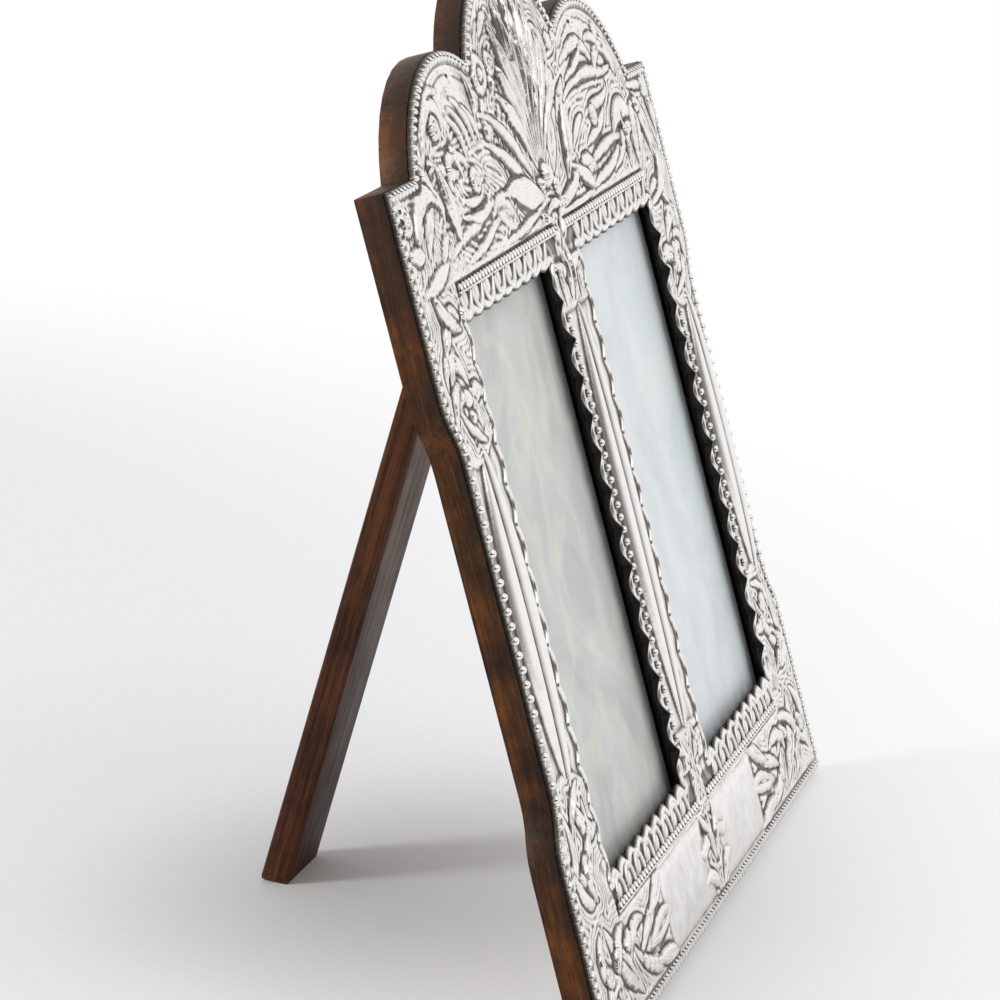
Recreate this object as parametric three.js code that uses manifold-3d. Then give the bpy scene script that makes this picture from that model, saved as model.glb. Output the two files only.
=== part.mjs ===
// A free-standing double picture frame: an embossed silver sheet pinned on a shaped wooden board,
// two glazed windows closed from behind by panels and turn buttons, and a hinged wooden strut.
// Sizes are in millimetres. The face is drawn flat, x across, y up and z out of the front face,
// and then leaned back, so that the board's lower back edge and the strut's foot stand on the floor.
import * as THREE from 'three';
import { mergeVertices } from 'three/addons/utils/BufferGeometryUtils.js';
import Module from 'manifold-3d';

const wasm = await Module();
wasm.setup();
const { Manifold, Mesh: SolidMesh } = wasm;

// Clearances
const seatGap = 0.3;
const runningGap = 0.06;

// How it stands
const boardLean = 14.9;
const strutLean = 16.5;

// Board outline
const boardWidth = 318;
const boardThickness = 9;
const shoulderHeight = 270;
const shoulderWidth = 27;
const waistDepth = 7.5;
const waistBottom = 84;
const waistTop = 184;
const waistSweep = 24;
const footFlare = 1.5;
const sideLobeRise = 32.5;
const sideLobeReach = 52;
const centreLobeHeight = 324;
const centreLobeRadius = 64;

// Windows, as the silver leaves them
const windowWidth = 100;
const windowHeight = 177;
const windowBottom = 47;
const mullionWidth = 36;
const silverOverhang = 1;
const rebateWidth = 5;
const lipThickness = 1.7;

// What stands in the rebates
const glassThickness = 2;
const insertThickness = 0.6;
const panelThickness = 3.3;

// Silver sheet and its relief
const sheetThickness = 0.8;
const sheetInset = 0.3;
const crimpPitch = 12.6;
const crimpDepth = 2.2;
const tonguePitch = 11;
const tongueLength = 8;
const tongueHeight = 1.3;
const lipScallop = 1.2;
const borderWidth = 3.6;
const borderHeight = 1.5;
const borderStep = 0.4;
const ropeGap = 9.5;
const lowerRopeGap = 12.5;
const pearlPitch = 4.4;
const pearlRadius = 1.9;
const pearlHeight = 1.7;
const pearlFromWindow = 7;
const pearlFromEdge = 3.2;
const spindleWidth = 10.5;
const spindleHeight = 4.2;
const spindleSpacing = 8;
const spindleOverrun = 3;
const mullionSpindleLength = 147;
const panelReliefWidth = 57;
const panelReliefHeight = 25;
const panelReliefStart = 11;
const panelReliefRise = 1.1;
const fanRootDrop = 21;
const fanClearance = 15;

// Pins of the sheet
const pinHeadRadius = 1.6;
const pinHeadHeight = 0.9;
const pinRadius = 0.6;
const pinLength = 6;
const pinFromEdge = 6;

// Turn buttons and their screws
const buttonLength = 22;
const buttonWidth = 8;
const buttonThickness = 1.2;
const buttonFromRebate = 5.5;
const screwRadius = 1.2;
const screwLength = 6;
const screwTipLength = 1.5;
const roundHeadRadius = 3;
const roundHeadHeight = 1.3;

// Strut and hinge
const strutWidth = 34;
const strutThickness = 9.6;
const strutCornerRadius = 6;
const strutChamfer = 0.9;
const hingeHeight = 248.6;
const leafWidth = 30;
const leafHeight = 18;
const leafThickness = 1.1;
const knuckleRadius = 2.2;
const knuckleCount = 5;
const hingePinRadius = 1;
const hingePinHeadRadius = 1.8;
const hingePinHeadLength = 0.7;
const flatHeadRadius = 2.2;
const flatHeadDepth = 0.9;
const leafScrewSpacing = 20;
const leafScrewDrop = 7;
const leafScrewStep = 6;

// Worked out from the sizes above
const lean = THREE.MathUtils.degToRad(boardLean);
const opening = THREE.MathUtils.degToRad(boardLean + strutLean);
const halfWidth = boardWidth / 2;
const windowCentre = (mullionWidth + windowWidth) / 2;
const windowTop = windowBottom + windowHeight;
const sheetBack = boardThickness + seatGap;
const sheetFront = sheetBack + sheetThickness;
const glassFront = boardThickness - lipThickness - seatGap;
const insertFront = glassFront - glassThickness - seatGap;
const panelFront = insertFront - insertThickness - seatGap;
const axisDepth = knuckleRadius + seatGap;
const ropeTop = windowTop + ropeGap;
const ropeBottom = windowBottom - lowerRopeGap;
const waistX = halfWidth - waistDepth;
const sideLobeX = halfWidth - shoulderWidth - sideLobeReach;
const waistMiddle = (waistBottom + waistTop) / 2;
const mullionBottom = waistMiddle - mullionSpindleLength / 2;
const mullionTop = waistMiddle + mullionSpindleLength / 2;

// How far a cut runs past what it cuts, and the space that is cut clear over the sheet
const cutOverrun = 1;
const reliefSpace = 20;

const colours = {
  wood: { color: 0x4a2a1a, roughness: 0.6, metalness: 0 },
  silver: { color: 0xd9d6d0, roughness: 0.25, metalness: 1 },
  glass: { color: 0xdfe8ea, roughness: 0.05, metalness: 0, transparent: true, opacity: 0.35 },
  pearl: { color: 0xd5dcda, roughness: 0.4, metalness: 0.1 },
  plainWood: { color: 0x8a6a48, roughness: 0.7, metalness: 0 },
  brass: { color: 0xb08d4a, roughness: 0.35, metalness: 1 },
};

// Solids

function solidOf(geometry) {
  const bare = geometry.clone();
  bare.deleteAttribute('normal');
  bare.deleteAttribute('uv');
  const merged = mergeVertices(bare, 1e-4);
  // Rounding puts faces that are drawn in one plane exactly in one plane
  const places = Array.from(merged.attributes.position.array, (value) => Math.round(value * 1e4) / 1e4);
  return new Manifold(new SolidMesh({
    numProp: 3,
    vertProperties: new Float32Array(places),
    triVerts: new Uint32Array(merged.index.array),
  }));
}

function meshOf(name, solid, look) {
  const made = solid.getMesh();
  const geometry = new THREE.BufferGeometry();
  geometry.setAttribute('position', new THREE.BufferAttribute(new Float32Array(made.vertProperties), 3));
  geometry.setIndex(new THREE.BufferAttribute(new Uint32Array(made.triVerts), 1));
  geometry.computeVertexNormals();
  const mesh = new THREE.Mesh(geometry, new THREE.MeshStandardMaterial(look));
  mesh.name = name;
  return mesh;
}

function extruded(shape, depth, z) {
  const geometry = new THREE.ExtrudeGeometry(shape, { depth, bevelEnabled: false, curveSegments: 6 });
  geometry.translate(0, 0, z);
  return solidOf(geometry);
}

function block(width, height, depth, x, y, z) {
  const geometry = new THREE.BoxGeometry(width, height, depth);
  geometry.translate(x, y, z);
  return solidOf(geometry);
}

// A turned form with its axis along z; the profile lists [radius, height] from one end to the other
function turned(profile, sides) {
  const points = profile.map(([radius, height]) => new THREE.Vector2(radius, height));
  const geometry = new THREE.LatheGeometry(points, sides);
  geometry.rotateX(Math.PI / 2);
  return solidOf(geometry);
}

function rod(radius, length, sides) {
  return turned([[0, 0], [radius, 0], [radius, length], [0, length]], sides);
}

// Board outline

// The upper meeting point, where the second circle lies to the left of the first
function meetingOfCircles(x1, y1, r1, x2, y2, r2) {
  const dx = x2 - x1;
  const dy = y2 - y1;
  const distance = Math.hypot(dx, dy);
  const along = (r1 * r1 - r2 * r2 + distance * distance) / (2 * distance);
  const across = Math.sqrt(r1 * r1 - along * along);
  return {
    x: x1 + (along * dx + across * dy) / distance,
    y: y1 + (along * dy - across * dx) / distance,
  };
}

// The right half of the outline, from the middle of the foot to the top of the crest
function rightHalf() {
  const edge = new THREE.CurvePath();
  const at = (x, y) => new THREE.Vector2(x, y);
  const line = (a, b) => edge.add(new THREE.LineCurve(a, b));
  const sweep = (a, b, c, d) => edge.add(new THREE.CubicBezierCurve(a, b, c, d));
  const half = waistSweep / 2;
  line(at(0, 0), at(halfWidth + footFlare, 0));
  line(at(halfWidth + footFlare, 0), at(halfWidth, waistBottom - waistSweep));
  sweep(at(halfWidth, waistBottom - waistSweep), at(halfWidth, waistBottom - half),
    at(waistX, waistBottom - half), at(waistX, waistBottom));
  line(at(waistX, waistBottom), at(waistX, waistTop));
  sweep(at(waistX, waistTop), at(waistX, waistTop + half),
    at(halfWidth, waistTop + half), at(halfWidth, waistTop + waistSweep));
  line(at(halfWidth, waistTop + waistSweep), at(halfWidth, shoulderHeight));
  const footX = halfWidth - shoulderWidth;
  line(at(halfWidth, shoulderHeight), at(footX, shoulderHeight));

  const sideRadius = (sideLobeReach ** 2 + sideLobeRise ** 2) / (2 * sideLobeRise);
  const sideY = shoulderHeight + sideLobeRise - sideRadius;
  const centreY = centreLobeHeight - centreLobeRadius;
  const notch = meetingOfCircles(sideLobeX, sideY, sideRadius, 0, centreY, centreLobeRadius);
  const notchTurn = Math.atan2(notch.y - sideY, notch.x - sideLobeX);
  const footTurn = Math.atan2(shoulderHeight - sideY, footX - sideLobeX);
  const centreTurn = Math.atan2(notch.y - centreY, notch.x);
  edge.add(new THREE.EllipseCurve(sideLobeX, sideY, sideRadius, sideRadius, footTurn, notchTurn, false, 0));
  edge.add(new THREE.EllipseCurve(0, centreY, centreLobeRadius, centreLobeRadius,
    centreTurn, Math.PI / 2, false, 0));
  const points = edge.curves.flatMap((curve) => {
    const steps = curve instanceof THREE.LineCurve ? 1 : curve instanceof THREE.EllipseCurve ? 11 : 6;
    return curve.getPoints(steps).slice(0, -1);
  });
  return [...points, at(0, centreLobeHeight)];
}

const rightEdge = rightHalf();
const leftEdge = rightEdge.slice(1, -1).reverse().map((point) => new THREE.Vector2(-point.x, point.y));
const outline = [...rightEdge, ...leftEdge];

// The closed outline moved inwards by a distance
function inset(points, distance) {
  return points.map((point, i) => {
    const before = points[(i + points.length - 1) % points.length];
    const after = points[(i + 1) % points.length];
    const ahead = after.clone().sub(point).normalize();
    const behind = point.clone().sub(before).normalize();
    const normal = new THREE.Vector2(-ahead.y - behind.y, ahead.x + behind.x).normalize();
    const spread = Math.max(0.5, normal.dot(new THREE.Vector2(-ahead.y, ahead.x)));
    return point.clone().addScaledVector(normal, distance / spread);
  });
}

function rectangle(centreX, bottom, width, height) {
  const left = centreX - width / 2;
  return new THREE.Shape([
    new THREE.Vector2(left, bottom),
    new THREE.Vector2(left + width, bottom),
    new THREE.Vector2(left + width, bottom + height),
    new THREE.Vector2(left, bottom + height),
  ]);
}

// A window in the silver: its four edges are scallops that reach into the opening
function scallopedWindow(centreX) {
  const corners = [
    [centreX - windowWidth / 2, windowBottom, 1, 0],
    [centreX + windowWidth / 2, windowBottom, 0, 1],
    [centreX + windowWidth / 2, windowTop, -1, 0],
    [centreX - windowWidth / 2, windowTop, 0, -1],
  ];
  const points = corners.flatMap(([x, y, dx, dy]) => {
    const upright = dx === 0;
    const length = upright ? windowHeight : windowWidth;
    const count = Math.round(length / (upright ? crimpPitch : tonguePitch));
    const depth = upright ? crimpDepth : lipScallop;
    const steps = count * 2;
    return Array.from({ length: steps }, (_, i) => {
      const along = (length * i) / steps;
      const reach = depth * Math.abs(Math.sin((Math.PI * i * count) / steps));
      return new THREE.Vector2(x + dx * along - dy * reach, y + dy * along + dx * reach);
    });
  });
  return new THREE.Shape(points);
}

// Relief: each form is a ridge that stands on the sheet along a curve

// A curve that starts at a point with a heading, turns by bend along its way and curls at its end
function flourish({ at, heading, length, bend = 0, curl = 0 }, steps) {
  const points = [new THREE.Vector2(at[0], at[1])];
  for (let i = 0; i < steps; i += 1) {
    const t = (i + 0.5) / steps;
    const angle = THREE.MathUtils.degToRad(heading + bend * t + curl * t ** 3);
    const step = new THREE.Vector2(Math.cos(angle), Math.sin(angle)).multiplyScalar(length / steps);
    points.push(points[i].clone().add(step));
  }
  return points;
}

// A closed ridge along points, with its half width and height given for each place from 0 to 1
function ridge(points, widthAt, heightAt, facets, closed = false) {
  const positions = [];
  const base = sheetFront;
  const last = points.length - 1;
  points.forEach((point, i) => {
    const t = i / last;
    const next = closed ? points[(i + 1) % points.length] : points[Math.min(i + 1, last)];
    const before = closed ? points[(i + last) % points.length] : points[Math.max(i - 1, 0)];
    const ahead = next.clone().sub(before).normalize();
    for (let k = 0; k <= facets; k += 1) {
      const turn = (Math.PI * k) / facets;
      const side = Math.cos(turn) * widthAt(t);
      const rise = k % facets === 0 ? 0 : Math.sin(turn) * heightAt(t);
      positions.push(point.x - ahead.y * side, point.y + ahead.x * side, base + rise);
    }
  });
  const ring = facets + 1;
  const indices = [];
  for (let i = 0; i < (closed ? last + 1 : last); i += 1) {
    const onward = ((i + 1) % points.length) * ring;
    for (let k = 0; k < ring; k += 1) {
      const a = i * ring + k;
      const b = i * ring + ((k + 1) % ring);
      const c = onward + k;
      const d = onward + ((k + 1) % ring);
      indices.push(a, b, c, b, d, c);
    }
  }
  for (let k = 1; k < facets && !closed; k += 1) {
    indices.push(0, k + 1, k);
    indices.push(last * ring, last * ring + k, last * ring + k + 1);
  }
  const geometry = new THREE.BufferGeometry();
  geometry.setAttribute('position', new THREE.Float32BufferAttribute(positions, 3));
  geometry.setIndex(indices);
  return solidOf(geometry);
}

// How full a leaf is at each place: nothing at its ends and most at its belly
function fullness(belly) {
  const power = Math.log(0.5) / Math.log(belly);
  return (t) => 0.08 + 0.92 * Math.sin(Math.PI * Math.min(1, t) ** power);
}

function leaf({ width = 6, height = 2, belly = 0.5, ...curve }, steps = 5) {
  const full = fullness(belly);
  return ridge(flourish(curve, steps), (t) => (full(t) * width) / 2, (t) => height * full(t), 2);
}

function mirrored(piece) {
  return { ...piece, at: [-piece.at[0], piece.at[1]], heading: 180 - piece.heading,
    bend: -(piece.bend ?? 0), curl: -(piece.curl ?? 0) };
}

// An upright row of pearls between two heights
function pearls(x, bottom, top) {
  const count = Math.round((top - bottom) / pearlPitch);
  const steps = count * 2;
  const points = Array.from({ length: steps + 1 }, (_, i) => (
    new THREE.Vector2(x, bottom + ((top - bottom) * i) / steps)
  ));
  const swell = (t) => (Math.round(t * steps) % 2 ? 1 : 0.4);
  return ridge(points, (t) => pearlRadius * swell(t), (t) => pearlHeight * swell(t), 2);
}

function spindlePair(centreX, bottom, top) {
  const taper = (t) => Math.sin(Math.PI * (0.02 + 0.96 * t)) ** 0.7;
  return [-1, 1].map((side) => {
    const points = Array.from({ length: 11 }, (_, i) => {
      const t = i / 10;
      const x = centreX + (side * spindleSpacing * taper(t)) / 2;
      return new THREE.Vector2(x, bottom + (top - bottom) * t);
    });
    return ridge(points, (t) => (taper(t) * spindleWidth) / 2, (t) => spindleHeight * taper(t), 5);
  });
}

// The leaves stand in groups, each tied to the height that it belongs to. A place is a share of half
// the board's width, and the distance up from that height.
const tiedTo = (height, group) => group.map((piece) => (
  { ...piece, at: [piece.at[0] * halfWidth, height + piece.at[1]] }
));

// The fan of the crest
const fanRootHeight = shoulderHeight - fanRootDrop;
const fanLength = centreLobeHeight - fanRootHeight - fanClearance;
const fanRays = [0, 14, 28, 42, 56, 70].map((turn, i) => ({
  at: [i * 0.8, fanRootHeight],
  heading: 90 - turn,
  bend: -i * 2,
  length: fanLength * (1 - 0.075 * i),
  width: 8,
  height: 3.2 - i * 0.2,
  belly: 0.7,
}));

// The leaves that sweep out from its root, and the scrolls of the side lobes
const crestLeaves = tiedTo(shoulderHeight, [
  { at: [0.038, -26], heading: 24, length: 54, bend: -62, width: 11, height: 3, belly: 0.45 },
  { at: [0.063, -21], heading: 26, length: 56, bend: 40, curl: 50, width: 8, height: 3, belly: 0.5 },
  { at: [0.126, -18], heading: 30, length: 58, bend: -50, width: 6, belly: 0.5 },
  { at: [0.314, -8], heading: 60, length: 44, bend: -60, curl: -120, width: 6 },
  { at: [0.252, 6], heading: 30, length: 26, bend: 60, curl: 120, width: 5 },
  { at: [0.377, -22], heading: 28, length: 46, bend: -20, curl: 90, width: 7 },
  { at: [0.528, -8], heading: 70, length: 52, bend: -150, curl: -200, width: 6, height: 2.4 },
  { at: [0.365, 14], heading: 40, length: 44, bend: -70, width: 4.5 },
  { at: [0.566, -24], heading: 40, length: 40, bend: -60, curl: -40, width: 7 },
  { at: [0.767, 0], heading: 120, length: 30, bend: 50, curl: 60, width: 5 },
  { at: [0.629, -30], heading: 10, length: 36, bend: 40, curl: 120, width: 6 },
  { at: [0.679, -8], heading: -20, length: 34, bend: -60, curl: -80, width: 7, height: 2.4 },
  { at: [0.855, -20], heading: 10, length: 24, bend: 120, curl: 160, width: 4.5 },
]);
const upperStileLeaves = tiedTo(waistTop, [
  { at: [0.868, 5], heading: 100, length: 30, bend: 70, curl: 80, width: 7 },
  { at: [0.818, 22], heading: 60, length: 30, bend: -60, curl: -120, width: 6 },
  { at: [0.918, 28], heading: 110, length: 30, bend: 60, curl: 60, width: 6 },
]);
const lowerStileLeaves = tiedTo(waistBottom, [
  { at: [0.868, -6], heading: -100, length: 26, bend: -70, curl: -60, width: 7 },
  { at: [0.818, -22], heading: -60, length: 28, bend: 60, curl: 100, width: 6 },
]);
const railLeaves = tiedTo(0, [
  { at: [0.616, 18], heading: 170, length: 32, bend: -30, curl: -60, width: 8 },
  { at: [0.616, 16], heading: 200, length: 32, bend: -20, curl: 50, width: 8 },
  { at: [0.654, 20], heading: 60, length: 24, bend: -120, curl: -90, width: 6 },
  { at: [0.704, 8], heading: 30, length: 38, bend: 30, width: 9 },
  { at: [0.742, 30], heading: -10, length: 28, bend: -60, curl: -80, width: 6 },
  { at: [0.943, 12], heading: 120, length: 26, bend: 60, curl: 90, width: 6 },
  { at: [0.013, 30], heading: -60, length: 24, bend: 60, curl: 80, width: 5 },
  { at: [0.013, 4], heading: 60, length: 22, bend: -50, curl: -60, width: 5 },
]);
const mullionLeaves = [
  ...tiedTo(mullionTop, [
    { at: [0.019, 7.5], heading: 60, length: 22, bend: -60, curl: -60, width: 5 },
  ]),
  ...tiedTo(mullionBottom, [
    { at: [0.019, -12.5], heading: -50, length: 16, bend: 50, width: 4.5 },
    { at: [0.019, -10.5], heading: 50, length: 16, bend: -50, width: 4.5 },
  ]),
];

function reliefForms() {
  const forms = [];
  const both = (list) => list.flatMap((piece) => [piece, mirrored(piece)]);
  const leaves = [
    ...both([...crestLeaves, ...upperStileLeaves, ...lowerStileLeaves, ...railLeaves, ...mullionLeaves]),
    ...both(fanRays.slice(1)),
    fanRays[0],
  ];
  leaves.forEach((piece) => forms.push(leaf(piece)));

  // The smooth spindles, and the pearls beside them
  const innerPearl = windowCentre + windowWidth / 2 + pearlFromWindow;
  const outerPearl = waistX - pearlFromEdge;
  const stileSpindle = (innerPearl + outerPearl) / 2;
  const mullionPearl = mullionWidth / 2 - pearlFromWindow;
  forms.push(...spindlePair(0, mullionBottom, mullionTop));
  [-1, 1].forEach((side) => {
    forms.push(...spindlePair(side * stileSpindle, waistBottom - spindleOverrun, waistTop + spindleOverrun));
    forms.push(pearls(side * innerPearl, waistBottom, waistTop));
    forms.push(pearls(side * outerPearl, waistBottom, waistTop));
    forms.push(pearls(side * mullionPearl, mullionBottom, mullionTop));
  });

  // The rope lines and the rows of tongues above and below the windows
  const ropeReach = windowCentre + windowWidth / 2;
  [ropeTop, ropeBottom].forEach((y) => {
    const line = [new THREE.Vector2(-ropeReach, y), new THREE.Vector2(ropeReach, y)];
    forms.push(ridge(line, () => borderWidth / 2, () => borderHeight, 4));
  });
  const tongues = Math.round(windowWidth / tonguePitch);
  [-windowCentre, windowCentre].forEach((centreX) => {
    for (let i = 0; i < tongues; i += 1) {
      const x = centreX - windowWidth / 2 + ((i + 0.5) * windowWidth) / tongues;
      const shape = { length: tongueLength, width: tonguePitch - 1.5, height: tongueHeight, belly: 0.55 };
      forms.push(leaf({ at: [x, windowTop + tongueLength - 0.2], heading: -90, ...shape }, 2));
      forms.push(leaf({ at: [x, windowBottom - tongueLength + 0.2], heading: 90, ...shape }, 2));
    }
  });

  // The smooth raised panels of the lower rail
  [-1, 1].forEach((side) => {
    const start = side * panelReliefStart;
    const end = side * (panelReliefStart + panelReliefWidth);
    const y = ropeBottom / 2;
    const line = [new THREE.Vector2(Math.min(start, end), y), new THREE.Vector2(Math.max(start, end), y)];
    forms.push(ridge(line, () => panelReliefHeight / 2, () => panelReliefRise, 6));
  });

  // The raised border that runs around the whole edge
  const border = inset(outline, sheetInset + borderWidth / 2 + borderStep);
  forms.push(ridge(border, () => borderWidth / 2, () => borderHeight, 3, true));
  return forms;
}

// Where the pins stand, on the right half of the sheet
const pinPlaces = [
  [halfWidth - pinFromEdge - 2, shoulderHeight - pinFromEdge - 1],
  [halfWidth - pinFromEdge, waistBottom - waistSweep + pinFromEdge],
  [halfWidth - pinFromEdge, pinFromEdge + 2],
  [sideLobeX - 5, shoulderHeight + 24],
  [13, ropeTop + 5.5],
];
const bothPins = pinPlaces.flatMap(([x, y]) => [[x, y], [-x, y]]);

// The relief is trimmed to the sheet's edge, then the windows and the seats of the pins are cut through
function silverSheet() {
  const face = new THREE.Shape(inset(outline, sheetInset));
  const plate = extruded(face, sheetThickness, sheetBack);
  const trim = extruded(face, reliefSpace, sheetFront);
  const relief = Manifold.union(reliefForms()).intersect(trim);
  const cuts = [-windowCentre, windowCentre].map((x) => (
    extruded(scallopedWindow(x), reliefSpace + 2 * cutOverrun, sheetBack - cutOverrun)
  ));
  const clearing = rod(pinRadius + seatGap, sheetThickness + 2 * cutOverrun, 6);
  const headClearing = rod(pinHeadRadius + seatGap, reliefSpace + cutOverrun, 8);
  bothPins.forEach(([x, y]) => {
    cuts.push(clearing.translate(x, y, sheetBack - cutOverrun));
    cuts.push(headClearing.translate(x, y, sheetFront));
  });
  return Manifold.union([plate, relief]).subtract(Manifold.union(cuts));
}

function pin() {
  return turned([
    [0, -pinLength],
    [pinRadius, -pinLength],
    [pinRadius, 0],
    [pinHeadRadius, 0],
    [pinHeadRadius * 0.75, pinHeadHeight * 0.7],
    [0, pinHeadHeight],
  ], 6);
}

// Screws: the turned body lies along z with its tip below and the top of its head at 0 or above

const roundScrewProfile = [
  [0, -screwLength],
  [screwRadius, screwTipLength - screwLength],
  [screwRadius, 0],
  [roundHeadRadius, 0],
  [roundHeadRadius * 0.85, roundHeadHeight * 0.6],
  [roundHeadRadius * 0.45, roundHeadHeight],
  [0, roundHeadHeight],
];
const flatScrewProfile = [
  [0, -screwLength],
  [screwRadius, screwTipLength - screwLength],
  [screwRadius, -flatHeadDepth],
  [flatHeadRadius, 0],
  [0, 0],
];
const pilotHole = rod(screwRadius + seatGap, screwLength + 2 * cutOverrun, 8)
  .translate(0, 0, -screwLength - cutOverrun);

// Where the screws and buttons stand on the back: [x, y] of each button's screw, then the leaf's screws
const rebateBottom = windowBottom - silverOverhang - rebateWidth;
const rebateTop = windowTop + silverOverhang + rebateWidth;
const buttonPlaces = [
  { name: 'turn_button_left_top', x: -windowCentre, y: rebateTop + buttonFromRebate },
  { name: 'turn_button_left_bottom', x: -windowCentre, y: rebateBottom - buttonFromRebate },
  { name: 'turn_button_right_top', x: windowCentre, y: rebateTop + buttonFromRebate },
  { name: 'turn_button_right_bottom', x: windowCentre, y: rebateBottom - buttonFromRebate },
];
const leafScrewPlaces = [
  [-leafScrewSpacing / 2, -leafScrewDrop],
  [leafScrewSpacing / 2, -leafScrewDrop],
  [0, -leafScrewDrop - leafScrewStep],
];

function woodBoard() {
  const cuts = [-windowCentre, windowCentre].flatMap((x) => {
    const sight = rectangle(x, windowBottom - silverOverhang, windowWidth + 2 * silverOverhang,
      windowHeight + 2 * silverOverhang);
    const rebate = rectangle(x, rebateBottom, windowWidth + 2 * (silverOverhang + rebateWidth),
      rebateTop - rebateBottom);
    return [
      extruded(sight, boardThickness + 2 * cutOverrun, -cutOverrun),
      extruded(rebate, boardThickness - lipThickness + cutOverrun, -cutOverrun),
    ];
  });
  const pinHole = rod(pinRadius + seatGap, pinLength, 6);
  bothPins.forEach(([x, y]) => {
    cuts.push(pinHole.translate(x, y, boardThickness - pinLength + cutOverrun));
  });
  // A screw from behind points towards the front, so its hole is turned over
  const fromBehind = pilotHole.rotate([180, 0, 0]);
  buttonPlaces.forEach(({ x, y }) => cuts.push(fromBehind.translate(x, y, -buttonThickness)));
  leafScrewPlaces.forEach(([x, y]) => {
    cuts.push(fromBehind.translate(x, hingeHeight + y, -leafThickness - seatGap));
  });
  return extruded(new THREE.Shape(outline), boardThickness, 0).subtract(Manifold.union(cuts));
}

// The panes, inserts and panels fill the rebate with the seat gap on every side

function rebateFiller(centreX, thickness, front) {
  const width = windowWidth + 2 * (silverOverhang + rebateWidth) - 2 * seatGap;
  const height = rebateTop - rebateBottom - 2 * seatGap;
  return block(width, height, thickness, centreX, (rebateTop + rebateBottom) / 2, front - thickness / 2);
}

function turnButton() {
  const half = buttonLength / 2 - buttonWidth / 2;
  const shape = new THREE.Shape();
  shape.absarc(0, half, buttonWidth / 2, 0, Math.PI, false);
  shape.absarc(0, -half, buttonWidth / 2, Math.PI, 2 * Math.PI, false);
  const plate = extruded(shape, buttonThickness, -seatGap - buttonThickness);
  const hole = rod(screwRadius + seatGap, buttonThickness + 2 * cutOverrun, 12);
  return plate.subtract(hole.translate(0, 0, -seatGap - buttonThickness - cutOverrun));
}

// Strut: its own space has the hinge axis at the origin, y up its length and z out of its front face

const axisHeightOnFloor = hingeHeight * Math.cos(lean) - axisDepth * Math.sin(lean);

function strutBody() {
  const front = -axisDepth;
  const back = front - strutThickness;
  const tilt = THREE.MathUtils.degToRad(strutLean);
  const footAt = (z) => (-axisHeightOnFloor + z * Math.sin(tilt)) / Math.cos(tilt);
  const topAt = (z) => (knuckleRadius - z * Math.cos(opening)) / Math.sin(opening);
  // The side of the strut, drawn with x for depth, pushed across the width and then turned into place
  const side = new THREE.Shape([
    new THREE.Vector2(front, footAt(front)),
    new THREE.Vector2(front, topAt(front)),
    new THREE.Vector2(back, topAt(back)),
    new THREE.Vector2(back, footAt(back)),
  ]);
  const chamfered = new THREE.ExtrudeGeometry(side, {
    depth: strutWidth - 2 * strutChamfer,
    bevelThickness: strutChamfer,
    bevelSize: strutChamfer,
    bevelOffset: -strutChamfer,
    bevelSegments: 1,
  });
  chamfered.translate(0, 0, strutChamfer - strutWidth / 2);
  chamfered.rotateY(-Math.PI / 2);
  const bottom = footAt(back);
  const width = strutWidth / 2;
  const round = strutCornerRadius;
  const outlineFromFront = new THREE.Shape();
  outlineFromFront.moveTo(width, 2 * round + topAt(back));
  outlineFromFront.lineTo(-width, 2 * round + topAt(back));
  outlineFromFront.lineTo(-width, bottom + round);
  outlineFromFront.absarc(-width + round, bottom + round, round, Math.PI, 1.5 * Math.PI, false);
  outlineFromFront.absarc(width - round, bottom + round, round, 1.5 * Math.PI, 2 * Math.PI, false);
  const rounded = extruded(outlineFromFront, strutThickness + 2 * cutOverrun, back - cutOverrun);
  const holes = leafScrewPlaces.map(([x, y]) => pilotHole.translate(x, y, front + seatGap + leafThickness));
  return solidOf(chamfered).intersect(rounded).subtract(Manifold.union(holes));
}

// One leaf of the hinge, with its wood on the side given by toWood, and every second knuckle
function hingeLeaf(toWood, firstKnuckle) {
  const outer = knuckleRadius * toWood;
  const middle = outer - (leafThickness / 2) * toWood;
  const stop = knuckleRadius + seatGap;
  const neck = stop + seatGap;
  let leafSolid = block(leafWidth, leafHeight - stop, leafThickness, 0, -(leafHeight + stop) / 2, middle);
  const pitch = leafWidth / knuckleCount;
  const parts = [];
  for (let i = firstKnuckle; i < knuckleCount; i += 2) {
    const x = -leafWidth / 2 + (i + 0.5) * pitch;
    const length = pitch - seatGap;
    const barrel = rod(knuckleRadius, length, 10).translate(0, 0, -length / 2).rotate([0, 90, 0]);
    parts.push(barrel.translate(x, 0, 0));
    parts.push(block(length, neck, leafThickness, x, -neck / 2, middle));
  }
  leafSolid = Manifold.union([leafSolid, ...parts]);
  const bore = rod(hingePinRadius + runningGap, leafWidth + 2 * cutOverrun, 12)
    .translate(0, 0, -leafWidth / 2 - cutOverrun).rotate([0, 90, 0]);
  const countersink = turned([
    [0, -leafThickness - cutOverrun],
    [screwRadius + seatGap, -leafThickness - cutOverrun],
    [screwRadius + seatGap, -flatHeadDepth],
    [flatHeadRadius + seatGap, 0],
    [flatHeadRadius + seatGap, cutOverrun],
    [0, cutOverrun],
  ], 8);
  const face = outer - leafThickness * toWood;
  const holes = leafScrewPlaces.map(([x, y]) => {
    const hole = toWood > 0 ? countersink.rotate([180, 0, 0]) : countersink;
    return hole.translate(x, y, face);
  });
  return leafSolid.subtract(Manifold.union([bore, ...holes]));
}

// A countersunk screw at the origin, pointing to the wood of its leaf
function leafScrew(toWood) {
  const screw = turned(flatScrewProfile, 8);
  return toWood > 0 ? screw.rotate([180, 0, 0]) : screw;
}

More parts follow.
